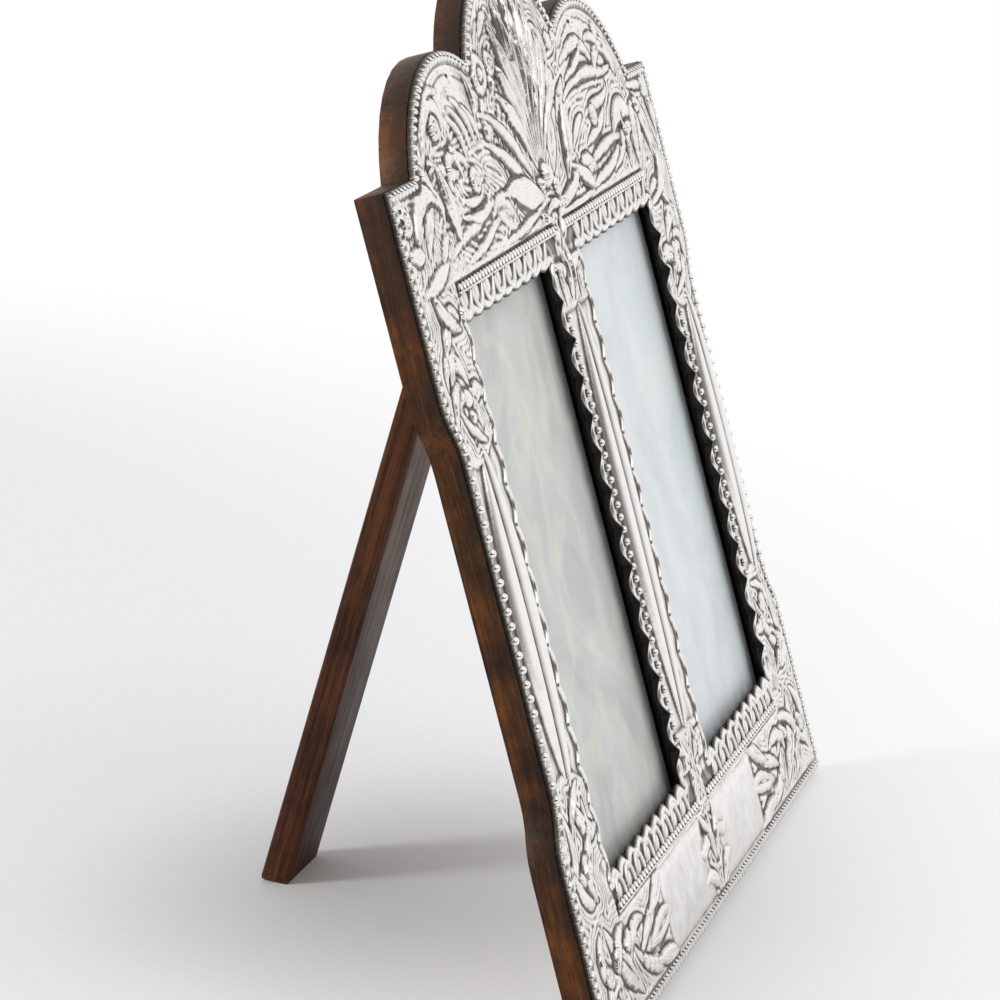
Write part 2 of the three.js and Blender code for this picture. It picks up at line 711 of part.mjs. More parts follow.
function hingePin() {
  const reach = leafWidth / 2 + seatGap;
  const rim = reach + hingePinHeadLength / 2;
  const end = reach + hingePinHeadLength;
  return turned([
    [0, -end],
    [hingePinHeadRadius, -rim],
    [hingePinHeadRadius, -reach],
    [hingePinRadius, -reach],
    [hingePinRadius, reach],
    [hingePinHeadRadius, reach],
    [hingePinHeadRadius, rim],
    [0, end],
  ], 12).rotate([0, 90, 0]);
}

// Putting it together

function placed(group, mesh, x, y, z) {
  mesh.position.set(x, y, z);
  group.add(mesh);
}

const leaning = new THREE.Group();
leaning.rotation.x = Math.PI / 2 - lean;
leaning.add(meshOf('wood_board', woodBoard(), colours.wood));
leaning.add(meshOf('silver_sheet', silverSheet(), colours.silver));
bothPins.forEach(([x, y], i) => {
  placed(leaning, meshOf(`silver_pin_${i + 1}`, pin(), colours.silver), x, y, sheetFront + seatGap);
});
[['left', -windowCentre], ['right', windowCentre]].forEach(([side, x]) => {
  leaning.add(meshOf(`${side}_glass`, rebateFiller(x, glassThickness, glassFront), colours.glass));
  leaning.add(meshOf(`${side}_insert`, rebateFiller(x, insertThickness, insertFront), colours.pearl));
  leaning.add(meshOf(`${side}_back_panel`, rebateFiller(x, panelThickness, panelFront), colours.plainWood));
});
const buttonHeadSeat = -buttonThickness - 2 * seatGap;
buttonPlaces.forEach(({ name, x, y }) => {
  const screw = turned(roundScrewProfile, 8).rotate([180, 0, 0]);
  placed(leaning, meshOf(name, turnButton(), colours.brass), x, y, 0);
  placed(leaning, meshOf(`${name}_screw`, screw, colours.brass), x, y, buttonHeadSeat);
});

// The fixed half of the hinge and its pin, about the hinge axis
const hinge = new THREE.Group();
hinge.position.set(0, hingeHeight, -axisDepth);
hinge.add(meshOf('hinge_board_leaf', hingeLeaf(1, 0), colours.brass));
leafScrewPlaces.forEach(([x, y], i) => {
  const name = `hinge_board_screw_${i + 1}`;
  placed(hinge, meshOf(name, leafScrew(1), colours.brass), x, y, knuckleRadius - leafThickness);
});
hinge.add(meshOf('hinge_pin', hingePin(), colours.brass));
leaning.add(hinge);

// The strut and its half of the hinge turn about the same axis, and rest opened out to their stop
const strut = new THREE.Group();
strut.rotation.x = opening;
strut.add(meshOf('strut', strutBody(), colours.wood));
strut.add(meshOf('hinge_strut_leaf', hingeLeaf(-1, 1), colours.brass));
leafScrewPlaces.forEach(([x, y], i) => {
  const name = `hinge_strut_screw_${i + 1}`;
  placed(strut, meshOf(name, leafScrew(-1), colours.brass), x, y, leafThickness - knuckleRadius);
});
hinge.add(strut);

// The origin is the middle of the space it stands in, on the floor
const pictureFrame = new THREE.Group();
pictureFrame.add(leaning);
pictureFrame.updateMatrixWorld(true);
const space = new THREE.Box3().setFromObject(pictureFrame, true);
const centre = space.getCenter(new THREE.Vector3());
pictureFrame.position.set(-centre.x, -centre.y, -space.min.z);

export default pictureFrame;
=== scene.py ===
import math

import bmesh
import bpy
import numpy as np
from mathutils import Matrix, Vector


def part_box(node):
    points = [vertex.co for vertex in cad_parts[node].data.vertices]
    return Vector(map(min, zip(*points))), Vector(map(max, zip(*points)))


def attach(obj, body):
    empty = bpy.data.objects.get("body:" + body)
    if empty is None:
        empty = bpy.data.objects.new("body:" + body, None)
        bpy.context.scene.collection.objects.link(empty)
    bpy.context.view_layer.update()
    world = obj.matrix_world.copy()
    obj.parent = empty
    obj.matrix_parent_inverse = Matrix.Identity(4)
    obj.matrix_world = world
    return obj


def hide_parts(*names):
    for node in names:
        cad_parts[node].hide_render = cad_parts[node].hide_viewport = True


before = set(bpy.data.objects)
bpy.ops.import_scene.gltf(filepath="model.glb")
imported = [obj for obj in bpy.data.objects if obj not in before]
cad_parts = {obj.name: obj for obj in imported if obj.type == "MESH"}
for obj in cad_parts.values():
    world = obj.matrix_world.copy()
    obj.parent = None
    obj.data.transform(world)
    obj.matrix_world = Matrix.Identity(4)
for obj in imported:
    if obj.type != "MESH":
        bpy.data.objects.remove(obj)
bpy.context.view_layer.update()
print("frame loaded")


def addObject(name, data):
    item = bpy.data.objects.new(name, data)
    bpy.context.scene.collection.objects.link(item)
    return item


# Camera: the photo's own view, found from the straight edges of the board
view = {"location": (-1.2929, -0.3567, 0.4505), "direction": (0.9386, 0.2585, -0.2286), "lens": 148.9,
        "sensor": 36, "farthest": 60}
cameraData = bpy.data.cameras.new("photoCamera")
cameraData.lens = view["lens"]
cameraData.sensor_width = view["sensor"]
cameraData.clip_end = view["farthest"]
camera = addObject("photoCamera", cameraData)
camera.location = view["location"]
camera.rotation_euler = Vector(view["direction"]).to_track_quat("-Z", "Y").to_euler()
bpy.context.scene.camera = camera
bpy.context.scene.view_settings.view_transform = "Standard"


# Small helpers for node trees and colours
def hexColour(text):
    values = [int(text[i:i + 2], 16) / 255 for i in (1, 3, 5)]
    linear = [v / 12.92 if v <= 0.04045 else ((v + 0.055) / 1.055) ** 2.4 for v in values]
    return (*linear, 1)


def feed(node, inputs):
    # an input takes a value, an output of another node, or a node, which then gives its first output
    for key, value in inputs.items():
        if isinstance(value, bpy.types.Node):
            value = value.outputs[0]
        if isinstance(value, bpy.types.NodeSocket):
            node.id_data.links.new(value, node.inputs[key])
        else:
            node.inputs[key].default_value = value


def addNode(tree, kind, inputs=None, **settings):
    node = tree.nodes.new(kind)
    for key, value in settings.items():
        setattr(node, key, value)
    feed(node, inputs or {})
    return node


def setRamp(node, stops):
    ramp = node.color_ramp
    while len(ramp.elements) > 1:
        ramp.elements.remove(ramp.elements[-1])
    ramp.elements[0].position, ramp.elements[0].color = stops[0][0], hexColour(stops[0][1])
    for place, colour in stops[1:]:
        ramp.elements.new(place).color = hexColour(colour)
    return node


def newMaterial(name):
    material = bpy.data.materials.new(name)
    material.use_nodes = True
    tree = material.node_tree
    tree.nodes.clear()
    shader = addNode(tree, "ShaderNodeBsdfPrincipled")
    addNode(tree, "ShaderNodeOutputMaterial", {"Surface": shader})
    return material, tree, shader


def perSize(millimetres):  # a pattern's scale from the real size of one of its features
    return 1000 / millimetres


# The face of the board: x across, y up and z out of the front, in millimetres
lean = math.radians(14.9)
strutLean = math.radians(16.5)
boardThickness = 9
sheet = {"front": 10.1, "back": 9.3, "fold": 0.22}  # both faces of the silver, and the fold of its rim
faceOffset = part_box("wood_board")[0].y * 1000 + boardThickness * math.cos(lean)


def ontoFace(points):
    x, y, z = np.asarray(points, float).T
    across = faceOffset + y * math.sin(lean) - z * math.cos(lean)
    up = y * math.cos(lean) + z * math.sin(lean)
    return np.stack([x, across, up], 1) / 1000


faceMatrix = Matrix((
    (1, 0, 0, 0),
    (0, math.sin(lean), -math.cos(lean), faceOffset / 1000),
    (0, math.cos(lean), math.sin(lean), 0),
    (0, 0, 0, 1),
))

# Studio: white all round, a darker room in front of the object, a softbox behind it to the left and a weak lamp in
# front. The paper glows whiter away from one place, and a painted shadow makes it greyest under the object.
studio = {
    "floorSize": 14.0,
    "fillLevel": 0.62,
    "room": {"towards": (-0.62, -0.75, 0.12), "colour": "#3c3937", "from": 0.24, "to": 0.93},
    "lamps": {"softbox": {"location": (-1.5, 2.2, 1.7), "size": 0.7, "power": 54},
              "front": {"location": (-0.4, -2.6, 2.2), "size": 2.0, "power": 14}},
    "aim": (0, 0, 0.12),
    "fade": {"centre": (-0.206, 1.009, 0), "from": 0.88, "to": 1.36},
    "under": {"colour": "#b6b6b9", "from": 0.02, "to": 0.17},
}
world = bpy.data.worlds.new("studioLight")
bpy.context.scene.world = world
world.use_nodes = True
tree = world.node_tree
tree.nodes.clear()
room = studio["room"]
around = addNode(tree, "ShaderNodeTexCoord")
facing = addNode(tree, "ShaderNodeVectorMath",
                 {0: around.outputs["Generated"], 1: Vector(room["towards"]).normalized()}, operation="DOT_PRODUCT")
inRoom = addNode(tree, "ShaderNodeMapRange",
                 {"Value": facing.outputs["Value"], "From Min": room["from"], "From Max": room["to"]},
                 interpolation_type="SMOOTHSTEP")
mirrorColour = addNode(tree, "ShaderNodeMix", {0: inRoom, 6: hexColour("#ffffff"), 7: hexColour(room["colour"])},
                       data_type="RGBA")
ray = addNode(tree, "ShaderNodeLightPath")
shown = addNode(tree, "ShaderNodeMath", {0: ray.outputs["Is Camera Ray"], 1: ray.outputs["Is Transmission Ray"]},
                operation="MAXIMUM")
fill = addNode(tree, "ShaderNodeBackground", {"Color": (1, 1, 1, 1), "Strength": studio["fillLevel"]})
mirror = addNode(tree, "ShaderNodeBackground", {"Color": mirrorColour.outputs[2], "Strength": 1})
plain = addNode(tree, "ShaderNodeBackground", {"Color": (1, 1, 1, 1), "Strength": 1})
glossy = addNode(tree, "ShaderNodeMixShader", {0: ray.outputs["Is Glossy Ray"], 1: fill, 2: mirror})
seen = addNode(tree, "ShaderNodeMixShader", {0: shown, 1: glossy, 2: plain})
addNode(tree, "ShaderNodeOutputWorld", {"Surface": seen})

for name, settings in studio["lamps"].items():
    lampData = bpy.data.lights.new(name, "AREA")
    lampData.size = settings["size"]
    lampData.energy = settings["power"]
    lamp = addObject(name, lampData)
    lamp.location = settings["location"]
    lamp.rotation_euler = (Vector(studio["aim"]) - lamp.location).to_track_quat("-Z", "Y").to_euler()

floorMesh = bpy.data.meshes.new("floor")
half = studio["floorSize"] / 2
floorMesh.from_pydata([(-half, -half, 0), (half, -half, 0), (half, half, 0), (-half, half, 0)], [], [(0, 1, 2, 3)])
floor = addObject("floor", floorMesh)
# Matt painted paper: a faint speckle, a painted shadow that greys it by the object, and a glow fading it to the white
# of the room
floorPaperWithShadow, tree, shader = newMaterial("backdropPaperWithPaintedShadow")
fade, under = studio["fade"], studio["under"]
place = addNode(tree, "ShaderNodeTexCoord").outputs["Object"]
away = addNode(tree, "ShaderNodeVectorMath", {0: place, 1: fade["centre"]}, operation="DISTANCE")
whiter = addNode(tree, "ShaderNodeMapRange",
                 {"Value": away.outputs["Value"], "From Min": fade["from"], "From Max": fade["to"]},
                 interpolation_type="SMOOTHSTEP")
speckle = addNode(tree, "ShaderNodeTexNoise", {"Vector": place, "Scale": perSize(3), "Detail": 3.0})
tone = setRamp(addNode(tree, "ShaderNodeValToRGB", {0: speckle}), [(0.3, "#eeeef1"), (0.7, "#f2f2f5")])
# painted shadow: near the object's middle the paper's tone is mixed towards a darker grey
middle = addNode(tree, "ShaderNodeVectorMath", {0: place}, operation="LENGTH")
clearOfPaintedShadow = addNode(tree, "ShaderNodeMapRange",
                  {"Value": middle.outputs["Value"], "From Min": under["from"], "From Max": under["to"]},
                  interpolation_type="SMOOTHSTEP")
paperAndPaintedShadow = addNode(tree, "ShaderNodeMix", {0: clearOfPaintedShadow, 6: hexColour(under["colour"]), 7: tone}, data_type="RGBA")
feed(shader, {"Base Color": paperAndPaintedShadow.outputs[2], "Roughness": 0.85})
glow = addNode(tree, "ShaderNodeEmission", {"Color": (1, 1, 1, 1), "Strength": 1})
mixed = addNode(tree, "ShaderNodeMixShader", {0: whiter, 1: shader, 2: glow})
feed(tree.nodes["Material Output"], {"Surface": mixed})
floorMesh.materials.append(floorPaperWithShadow)
print("studio ready")

# Repousse silver: hand-hammered sheet, bright on the high parts with a warm black tarnish left in the recesses, and
# painted shade in the same dark tones
silver = {"stain": 5, "grain": 0.9, "dent": 7, "stroke": 2.4, "engravedPitch": 1.25}
repousseSilver, tree, shader = newMaterial("repousseSilver")
place = addNode(tree, "ShaderNodeTexCoord").outputs["Object"]
recess, contour, chasing = (addNode(tree, "ShaderNodeAttribute", attribute_name=name).outputs["Fac"]
                            for name in ("recess", "contour", "chasing"))
cloud = addNode(tree, "ShaderNodeTexNoise", {"Vector": place, "Scale": perSize(silver["stain"]), "Detail": 5.0})
grain = addNode(tree, "ShaderNodeTexNoise", {"Vector": place, "Scale": perSize(silver["grain"]), "Detail": 3.0})
shift = addNode(tree, "ShaderNodeMapRange",
                {"Value": cloud, "From Min": 0.3, "From Max": 0.7, "To Min": -0.12, "To Max": 0.1})
# fine engraved lines run along the edges of the leaves, here deeper and there worn away
phase = addNode(tree, "ShaderNodeMath", {0: contour, 1: math.tau / silver["engravedPitch"]}, operation="MULTIPLY")
line = addNode(tree, "ShaderNodeMath", {0: phase}, operation="COSINE")
worn = addNode(tree, "ShaderNodeMapRange", {"Value": cloud, "From Min": 0.4, "From Max": 0.56, "To Min": 0.25})
drawn = addNode(tree, "ShaderNodeMath", {0: chasing, 1: worn}, operation="MULTIPLY")
cut = addNode(tree, "ShaderNodeMath", {0: line, 1: drawn}, operation="MULTIPLY")
stainedAndShaded = addNode(tree, "ShaderNodeMath", {0: cut, 1: -0.13, 2: recess}, operation="MULTIPLY_ADD")
tarnishAndShade = addNode(tree, "ShaderNodeMath", {0: stainedAndShaded, 1: shift}, operation="ADD", use_clamp=True)
tone = setRamp(addNode(tree, "ShaderNodeValToRGB", {0: tarnishAndShade}),
               [(0.0, "#f2f0ed"), (0.25, "#dfdbd7"), (0.5, "#b2aba4"), (0.75, "#7b736b"), (0.93, "#453f3a"),
                (1.0, "#15120f")])
bare = addNode(tree, "ShaderNodeMapRange",
               {"Value": tarnishAndShade, "From Min": 0.55, "From Max": 0.95, "To Min": 1.0, "To Max": 0.35})
rough = addNode(tree, "ShaderNodeMapRange", {"Value": tarnishAndShade, "To Min": 0.14, "To Max": 0.5})
scuff = addNode(tree, "ShaderNodeMath", {0: grain, 1: 0.07, 2: rough}, operation="MULTIPLY_ADD")
# dents of the hammer, strokes of the punch, the engraved lines and a fine grain; all weaker on the smooth parts
dents = addNode(tree, "ShaderNodeTexNoise", {"Vector": place, "Scale": perSize(silver["dent"]), "Detail": 2.0})
strokes = addNode(tree, "ShaderNodeTexNoise",
                  {"Vector": place, "Scale": perSize(silver["stroke"]), "Detail": 2.0, "Distortion": 1.2})
weight = addNode(tree, "ShaderNodeMapRange", {"Value": chasing, "To Min": 0.16, "To Max": 0.5})
normal = None
for height, strength, depth in ((dents, weight, 0.0003), (strokes, weight, 0.00016), (cut, 0.5, 0.00011),
                                (grain, 0.25, 0.00003)):
    bump = addNode(tree, "ShaderNodeBump", {"Height": height, "Strength": strength, "Distance": depth})
    if normal:
        feed(bump, {"Normal": normal})
    normal = bump
feed(shader, {"Base Color": tone, "Metallic": bare, "Roughness": scuff, "Normal": normal})
print("silver mixed")

# The outline of the board's right half, from the middle of the foot to the top of the crest
board = {
    "halfWidth": 159.0, "shoulder": 270.0, "shoulderWidth": 27.0, "waistDepth": 7.5,
    "waistBottom": 84.0, "waistTop": 184.0, "waistSweep": 24.0, "footFlare": 1.5,
    "lobeRise": 32.5, "lobeReach": 52.0, "crown": 324.0, "crownRadius": 64.0,
}
window = {
    "width": 100.0, "bottom": 47.0, "top": 224.0, "mullion": 36.0, "sill": 2.0, "teeth": 14, "steps": 12,
    "crimpPitch": 12.6, "crimpDepth": 2.2, "scallopPitch": 11.0, "scallopTop": 1.6, "scallopBottom": 3.0,
}
windowCentre = (window["width"] + window["mullion"]) / 2
windowLow = window["bottom"] - window["sill"]
curveSteps = 24


def straight(a, b, spacing=1.0):
    count = max(1, int(math.dist(a, b) / spacing))
    return [np.add(a, np.subtract(b, a) * i / count) for i in range(count)]


def bezier(a, b, c, d):
    a, b, c, d = (np.array(p, float) for p in (a, b, c, d))
    steps = [i / curveSteps for i in range(curveSteps)]
    return [a * (1 - t) ** 3 + 3 * b * t * (1 - t) ** 2 + 3 * c * t * t * (1 - t) + d * t ** 3 for t in steps]


def arc(centre, radius, start, end):  # a point for every millimetre
    count = max(2, int(abs(end - start) * radius))
    turns = [start + (end - start) * i / count for i in range(count)]
    return [np.array((centre[0] + radius * math.cos(t), centre[1] + radius * math.sin(t))) for t in turns]


def boardOutline():
    side, waist = board["halfWidth"], board["halfWidth"] - board["waistDepth"]
    low, high, sweep = board["waistBottom"], board["waistTop"], board["waistSweep"]
    points = straight((0, 0), (side + board["footFlare"], 0))
    points += straight((side + board["footFlare"], 0), (side, low - sweep))
    points += bezier((side, low - sweep), (side, low - sweep / 2), (waist, low - sweep / 2), (waist, low))
    points += straight((waist, low), (waist, high))
    points += bezier((waist, high), (waist, high + sweep / 2), (side, high + sweep / 2), (side, high + sweep))
    points += straight((side, high + sweep), (side, board["shoulder"]))
    foot = side - board["shoulderWidth"]
    points += straight((side, board["shoulder"]), (foot, board["shoulder"]))
    lobeX = foot - board["lobeReach"]
    lobeRadius = (board["lobeReach"] ** 2 + board["lobeRise"] ** 2) / (2 * board["lobeRise"])
    lobeY = board["shoulder"] + board["lobeRise"] - lobeRadius
    crownY = board["crown"] - board["crownRadius"]
    # where the side lobe meets the crown
    apart = math.hypot(lobeX, crownY - lobeY)
    along = (lobeRadius ** 2 - board["crownRadius"] ** 2 + apart ** 2) / (2 * apart)
    across = math.sqrt(lobeRadius ** 2 - along ** 2)
    dx, dy = -lobeX, crownY - lobeY
    notch = (lobeX + (along * dx + across * dy) / apart, lobeY + (along * dy - across * dx) / apart)
    points += arc((lobeX, lobeY), lobeRadius, math.atan2(board["shoulder"] - lobeY, board["lobeReach"]),
                  math.atan2(notch[1] - lobeY, notch[0] - lobeX))
    points += arc((0, crownY), board["crownRadius"], math.atan2(notch[1] - crownY, notch[0]), math.pi / 2)
    right = np.array(points)
    left = right[1:][::-1] * (-1, 1)
    return np.vstack([right, [(0, board["crown"])], left])


def moved(loop, distance):  # a closed path moved to its left by a distance
    ahead = np.roll(loop, -1, 0) - np.roll(loop, 1, 0)
    ahead /= np.linalg.norm(ahead, axis=1)[:, None]
    return loop + np.stack([-ahead[:, 1], ahead[:, 0]], 1) * distance


def scallopedWindow(centreX):
    left, right = centreX - window["width"] / 2, centreX + window["width"] / 2
    top, steps = window["top"], window["steps"]
    corners = [(left, windowLow, 1, 0, window["scallopBottom"]), (right, windowLow, 0, 1, window["crimpDepth"]),
               (right, top, -1, 0, window["scallopTop"]), (left, top, 0, -1, window["crimpDepth"])]
    points = []
    for x, y, dx, dy, depth in corners:
        length = window["width"] if dx else top - windowLow
        pitch = window["scallopPitch"] if dx else window["crimpPitch"]
        count = round(length / pitch)
        for i in range(count * steps):
            along = length * i / (count * steps)
            reach = depth * abs(math.sin(math.pi * i / steps)) ** 0.8
            points.append((x + dx * along - dy * reach, y + dy * along + dx * reach))
    return np.array(points)


outline = boardOutline()
sheetEdge = moved(outline, 0.3)
openings = [scallopedWindow(side * windowCentre) for side in (-1, 1)]

# The silver is drawn as heights over a fine grid of the face, then made a mesh
grid = {"pitch": 0.4, "reach": 9.0, "across": (-402, 403), "up": (-2, 814)}
gridX, gridY = (np.arange(*grid[name]) * grid["pitch"] for name in ("across", "up"))
shape = (len(gridY), len(gridX))
placeX, placeY = np.meshgrid(gridX, gridY)


def insideLoop(loop):
    inside = np.zeros(shape, bool)
    a, b = loop, np.roll(loop, -1, 0)
    for row, y in enumerate(gridY):
        crosses = (a[:, 1] > y) != (b[:, 1] > y)
        p, q = a[crosses], b[crosses]
        where = np.sort(p[:, 0] + (y - p[:, 1]) * (q[:, 0] - p[:, 0]) / (q[:, 1] - p[:, 1]))
        inside[row] = np.searchsorted(where, gridX) % 2 == 1
    return inside


def nearestEdge(loops):  # the distance to the nearest edge, and the place on it
    distance = np.full(shape, grid["reach"])
    nearX, nearY = placeX.copy(), placeY.copy()
    for loop in loops:
        for a, b in zip(loop, np.roll(loop, -1, 0)):
            rows, columns = gridWindow(np.minimum(a, b), np.maximum(a, b), grid["reach"])
            px, py = placeX[rows, columns] - a[0], placeY[rows, columns] - a[1]
            dx, dy = b - a
            t = np.clip((px * dx + py * dy) / (dx * dx + dy * dy), 0, 1)
            far = np.hypot(px - t * dx, py - t * dy)
            closer = far < distance[rows, columns]
            distance[rows, columns][closer] = far[closer]
            nearX[rows, columns][closer] = (a[0] + t * dx)[closer]
            nearY[rows, columns][closer] = (a[1] + t * dy)[closer]
    return distance, nearX, nearY


def gridWindow(low, high, reach):
    firstColumn = max(0, int((low[0] - reach - gridX[0]) / grid["pitch"]))
    lastColumn = min(shape[1], int((high[0] + reach - gridX[0]) / grid["pitch"]) + 2)
    firstRow = max(0, int((low[1] - reach - gridY[0]) / grid["pitch"]))
    lastRow = min(shape[0], int((high[1] + reach - gridY[0]) / grid["pitch"]) + 2)
    return slice(firstRow, lastRow), slice(firstColumn, lastColumn)


def smooth(value, low, high):
    t = np.clip((value - low) / (high - low), 0, 1)
    return t * t * (3 - 2 * t)


def blurred(field, radius):  # three box blurs, close to a soft round one
    cells = max(1, int(round(radius / grid["pitch"])))
    for axis in (0, 1):
        for _ in range(3):
            padded = np.pad(field, [(cells + 1, cells) if a == axis else (0, 0) for a in (0, 1)], mode="edge")
            total = np.cumsum(padded, axis=axis)
            ahead = np.take(total, range(2 * cells + 1, total.shape[axis]), axis=axis)
            behind = np.take(total, range(0, total.shape[axis] - 2 * cells - 1), axis=axis)
            field = (ahead - behind) / (2 * cells + 1)
    return field


def waves(size, seed, layers=5):  # a gentle uneven field between -1 and 1, size in millimetres
    random = np.random.default_rng(seed)
    field = np.zeros(shape)
    for _ in range(layers):
        turn, start = random.uniform(0, math.tau, 2)
        length = size * random.uniform(0.7, 1.5)
        field += np.sin((placeX * math.cos(turn) + placeY * math.sin(turn)) * math.tau / length + start)
    return field / layers


outerDistance, outerX, outerY = nearestEdge([sheetEdge])
windowDistance, windowX, windowY = nearestEdge(openings)
inSheet = insideLoop(sheetEdge)
inOpening = insideLoop(openings[0]) | insideLoop(openings[1])
print("face gridded")


def flourish(at, heading, length, bend, curl, steps):  # a path that bends evenly and curls in at its end
    t = (np.arange(steps) + 0.5) / steps
    angle = np.radians(heading + bend * t + curl * t ** 3)
    moves = np.stack([np.cos(angle), np.sin(angle)], 1) * length / steps
    return np.vstack([at, np.array(at) + np.cumsum(moves, 0)])


def nearPath(path, reach):  # how far along a path and how far beside it each place near it lies
    rows, columns = gridWindow(path.min(0), path.max(0), reach)
    px = placeX[rows, columns][..., None].astype(np.float32)
    py = placeY[rows, columns][..., None].astype(np.float32)
    ax, ay = path[:-1].T.astype(np.float32)
    dx, dy = np.diff(path, axis=0).T.astype(np.float32)
    lengths = np.hypot(dx, dy)
    t = np.clip(((px - ax) * dx + (py - ay) * dy) / lengths ** 2, 0, 1)
    offX, offY = px - ax - t * dx, py - ay - t * dy
    nearest = np.argmin(offX ** 2 + offY ** 2, -1)[..., None]
    pick = lambda values: np.take_along_axis(values, nearest, -1)[..., 0]
    spread = lambda values: np.broadcast_to(values, t.shape)
    start = np.concatenate([[0], np.cumsum(lengths)[:-1]])
    along = (pick(spread(start)) + pick(t) * pick(spread(lengths))) / lengths.sum()
    side = np.sign(pick(spread(dx)) * pick(offY) - pick(spread(dy)) * pick(offX))
    return rows, columns, along, side * np.hypot(pick(offX), pick(offY))


chisel = {"trench": 0.8, "steps": 26, "coarseSteps": 14}


def fullness(along, belly):  # how wide a leaf is along its length, with its widest place at the belly
    return 0.08 + 0.92 * np.sin(math.pi * np.clip(along, 0, 1) ** (math.log(0.5) / math.log(belly)))


def chase(height, x, y, heading, length, bend, curl, width, rise, kind, belly=0.5):
    # raises one leaf, ray or scroll, and drives the ground down along both of its sides
    path = flourish((x, y), heading, length, bend, curl, chisel["steps"])
    rows, columns, along, across = nearPath(path, width / 2 + chisel["trench"] + 0.6)
    full = fullness(along, belly)
    half = width / 2 * full
    if kind in ("veined", "lobed"):
        lobes = max(2, round(length / 6))
        half = half * (1 + (0.22 if kind == "lobed" else 0.1) * (np.abs(np.sin(math.pi * along * lobes)) - 0.5))
    v = across / np.maximum(half, 0.05)
    dome = np.clip(1 - v * v, 0, 1) ** 0.55
    travel = along * length
    if kind in ("veined", "lobed"):
        ribs = 0.5 - 0.5 * np.cos(math.tau * (travel / 2.3 - np.abs(v) * width / 5))
        dome = dome * (1 - 0.42 * np.exp(-(v / 0.16) ** 2)) * (1 - 0.34 * ribs)
    elif kind == "fluted":
        dome = dome * (1 - 0.5 * np.exp(-(v / 0.22) ** 2)) * (1 - 0.12 * np.cos(math.tau * v * 1.5))
    elif kind == "corded":
        dome = dome * (1 - 0.4 * (0.5 - 0.5 * np.cos(math.tau * (travel / 2.0 + v * 0.5))))
    elif kind == "ridged":
        dome = np.clip(1 - v * v, 0, 1) ** 0.85 * (1 - 0.3 * np.exp(-((np.abs(v) - 0.42) / 0.14) ** 2))
    elif kind == "echoed":
        dome = dome * (0.72 + 0.28 * np.cos(math.tau * v * width / 4.0))
    elif kind == "hollow":
        dome = np.clip(1 - np.abs(v) ** 3, 0, 1) ** 0.5 * (1 - 0.6 * np.clip(1 - v * v, 0, 1))
    elif width > 4:
        dome = dome * (0.87 + 0.13 * np.cos(math.tau * v * width / 2.3))
    own = rise * (0.35 + 0.65 * full) * dome
    ground = height[rows, columns]
    lowered = ground * (0.15 + 0.85 * np.clip((np.abs(across) - half) / chisel["trench"], 0, 1))
    height[rows, columns] = np.where(np.abs(v) < 1, np.maximum(own + 0.3 * ground, 0.45 * ground), lowered)


def nearForm(gaps, x, y, heading, length, bend, curl, width, rise, kind, belly=0.5):
    # the gap from every place around a form to its edge, negative inside; it takes the same values as chase
    path = flourish((x, y), heading, length, bend, curl, chisel["coarseSteps"])
    rows, columns, along, across = nearPath(path, width / 2 + grid["reach"])
    gaps[rows, columns] = np.minimum(gaps[rows, columns], np.abs(across) - width / 2 * fullness(along, belly))


def boss(height, x, y, radius, rise, eyed):
    # a round knob, or a ring around an eye, drawn after the leaves
    rows, columns = gridWindow(np.array((x, y)), np.array((x, y)), radius + 1.2)
    far = np.hypot(placeX[rows, columns] - x, placeY[rows, columns] - y)
    v = far / radius
    ground = height[rows, columns]
    dome = rise * np.clip(1 - v * v, 0, 1) ** 0.55
    if eyed:
        dome = dome * (0.3 + 0.7 * smooth(v, 0.35, 0.7)) + 0.6 * rise * np.clip(1 - (v / 0.34) ** 2, 0, 1) ** 0.5
    lowered = ground * (0.15 + 0.85 * np.clip(far - radius, 0, 1))
    height[rows, columns] = np.where(v < 1, np.maximum(dome + 0.2 * ground, 0), lowered)


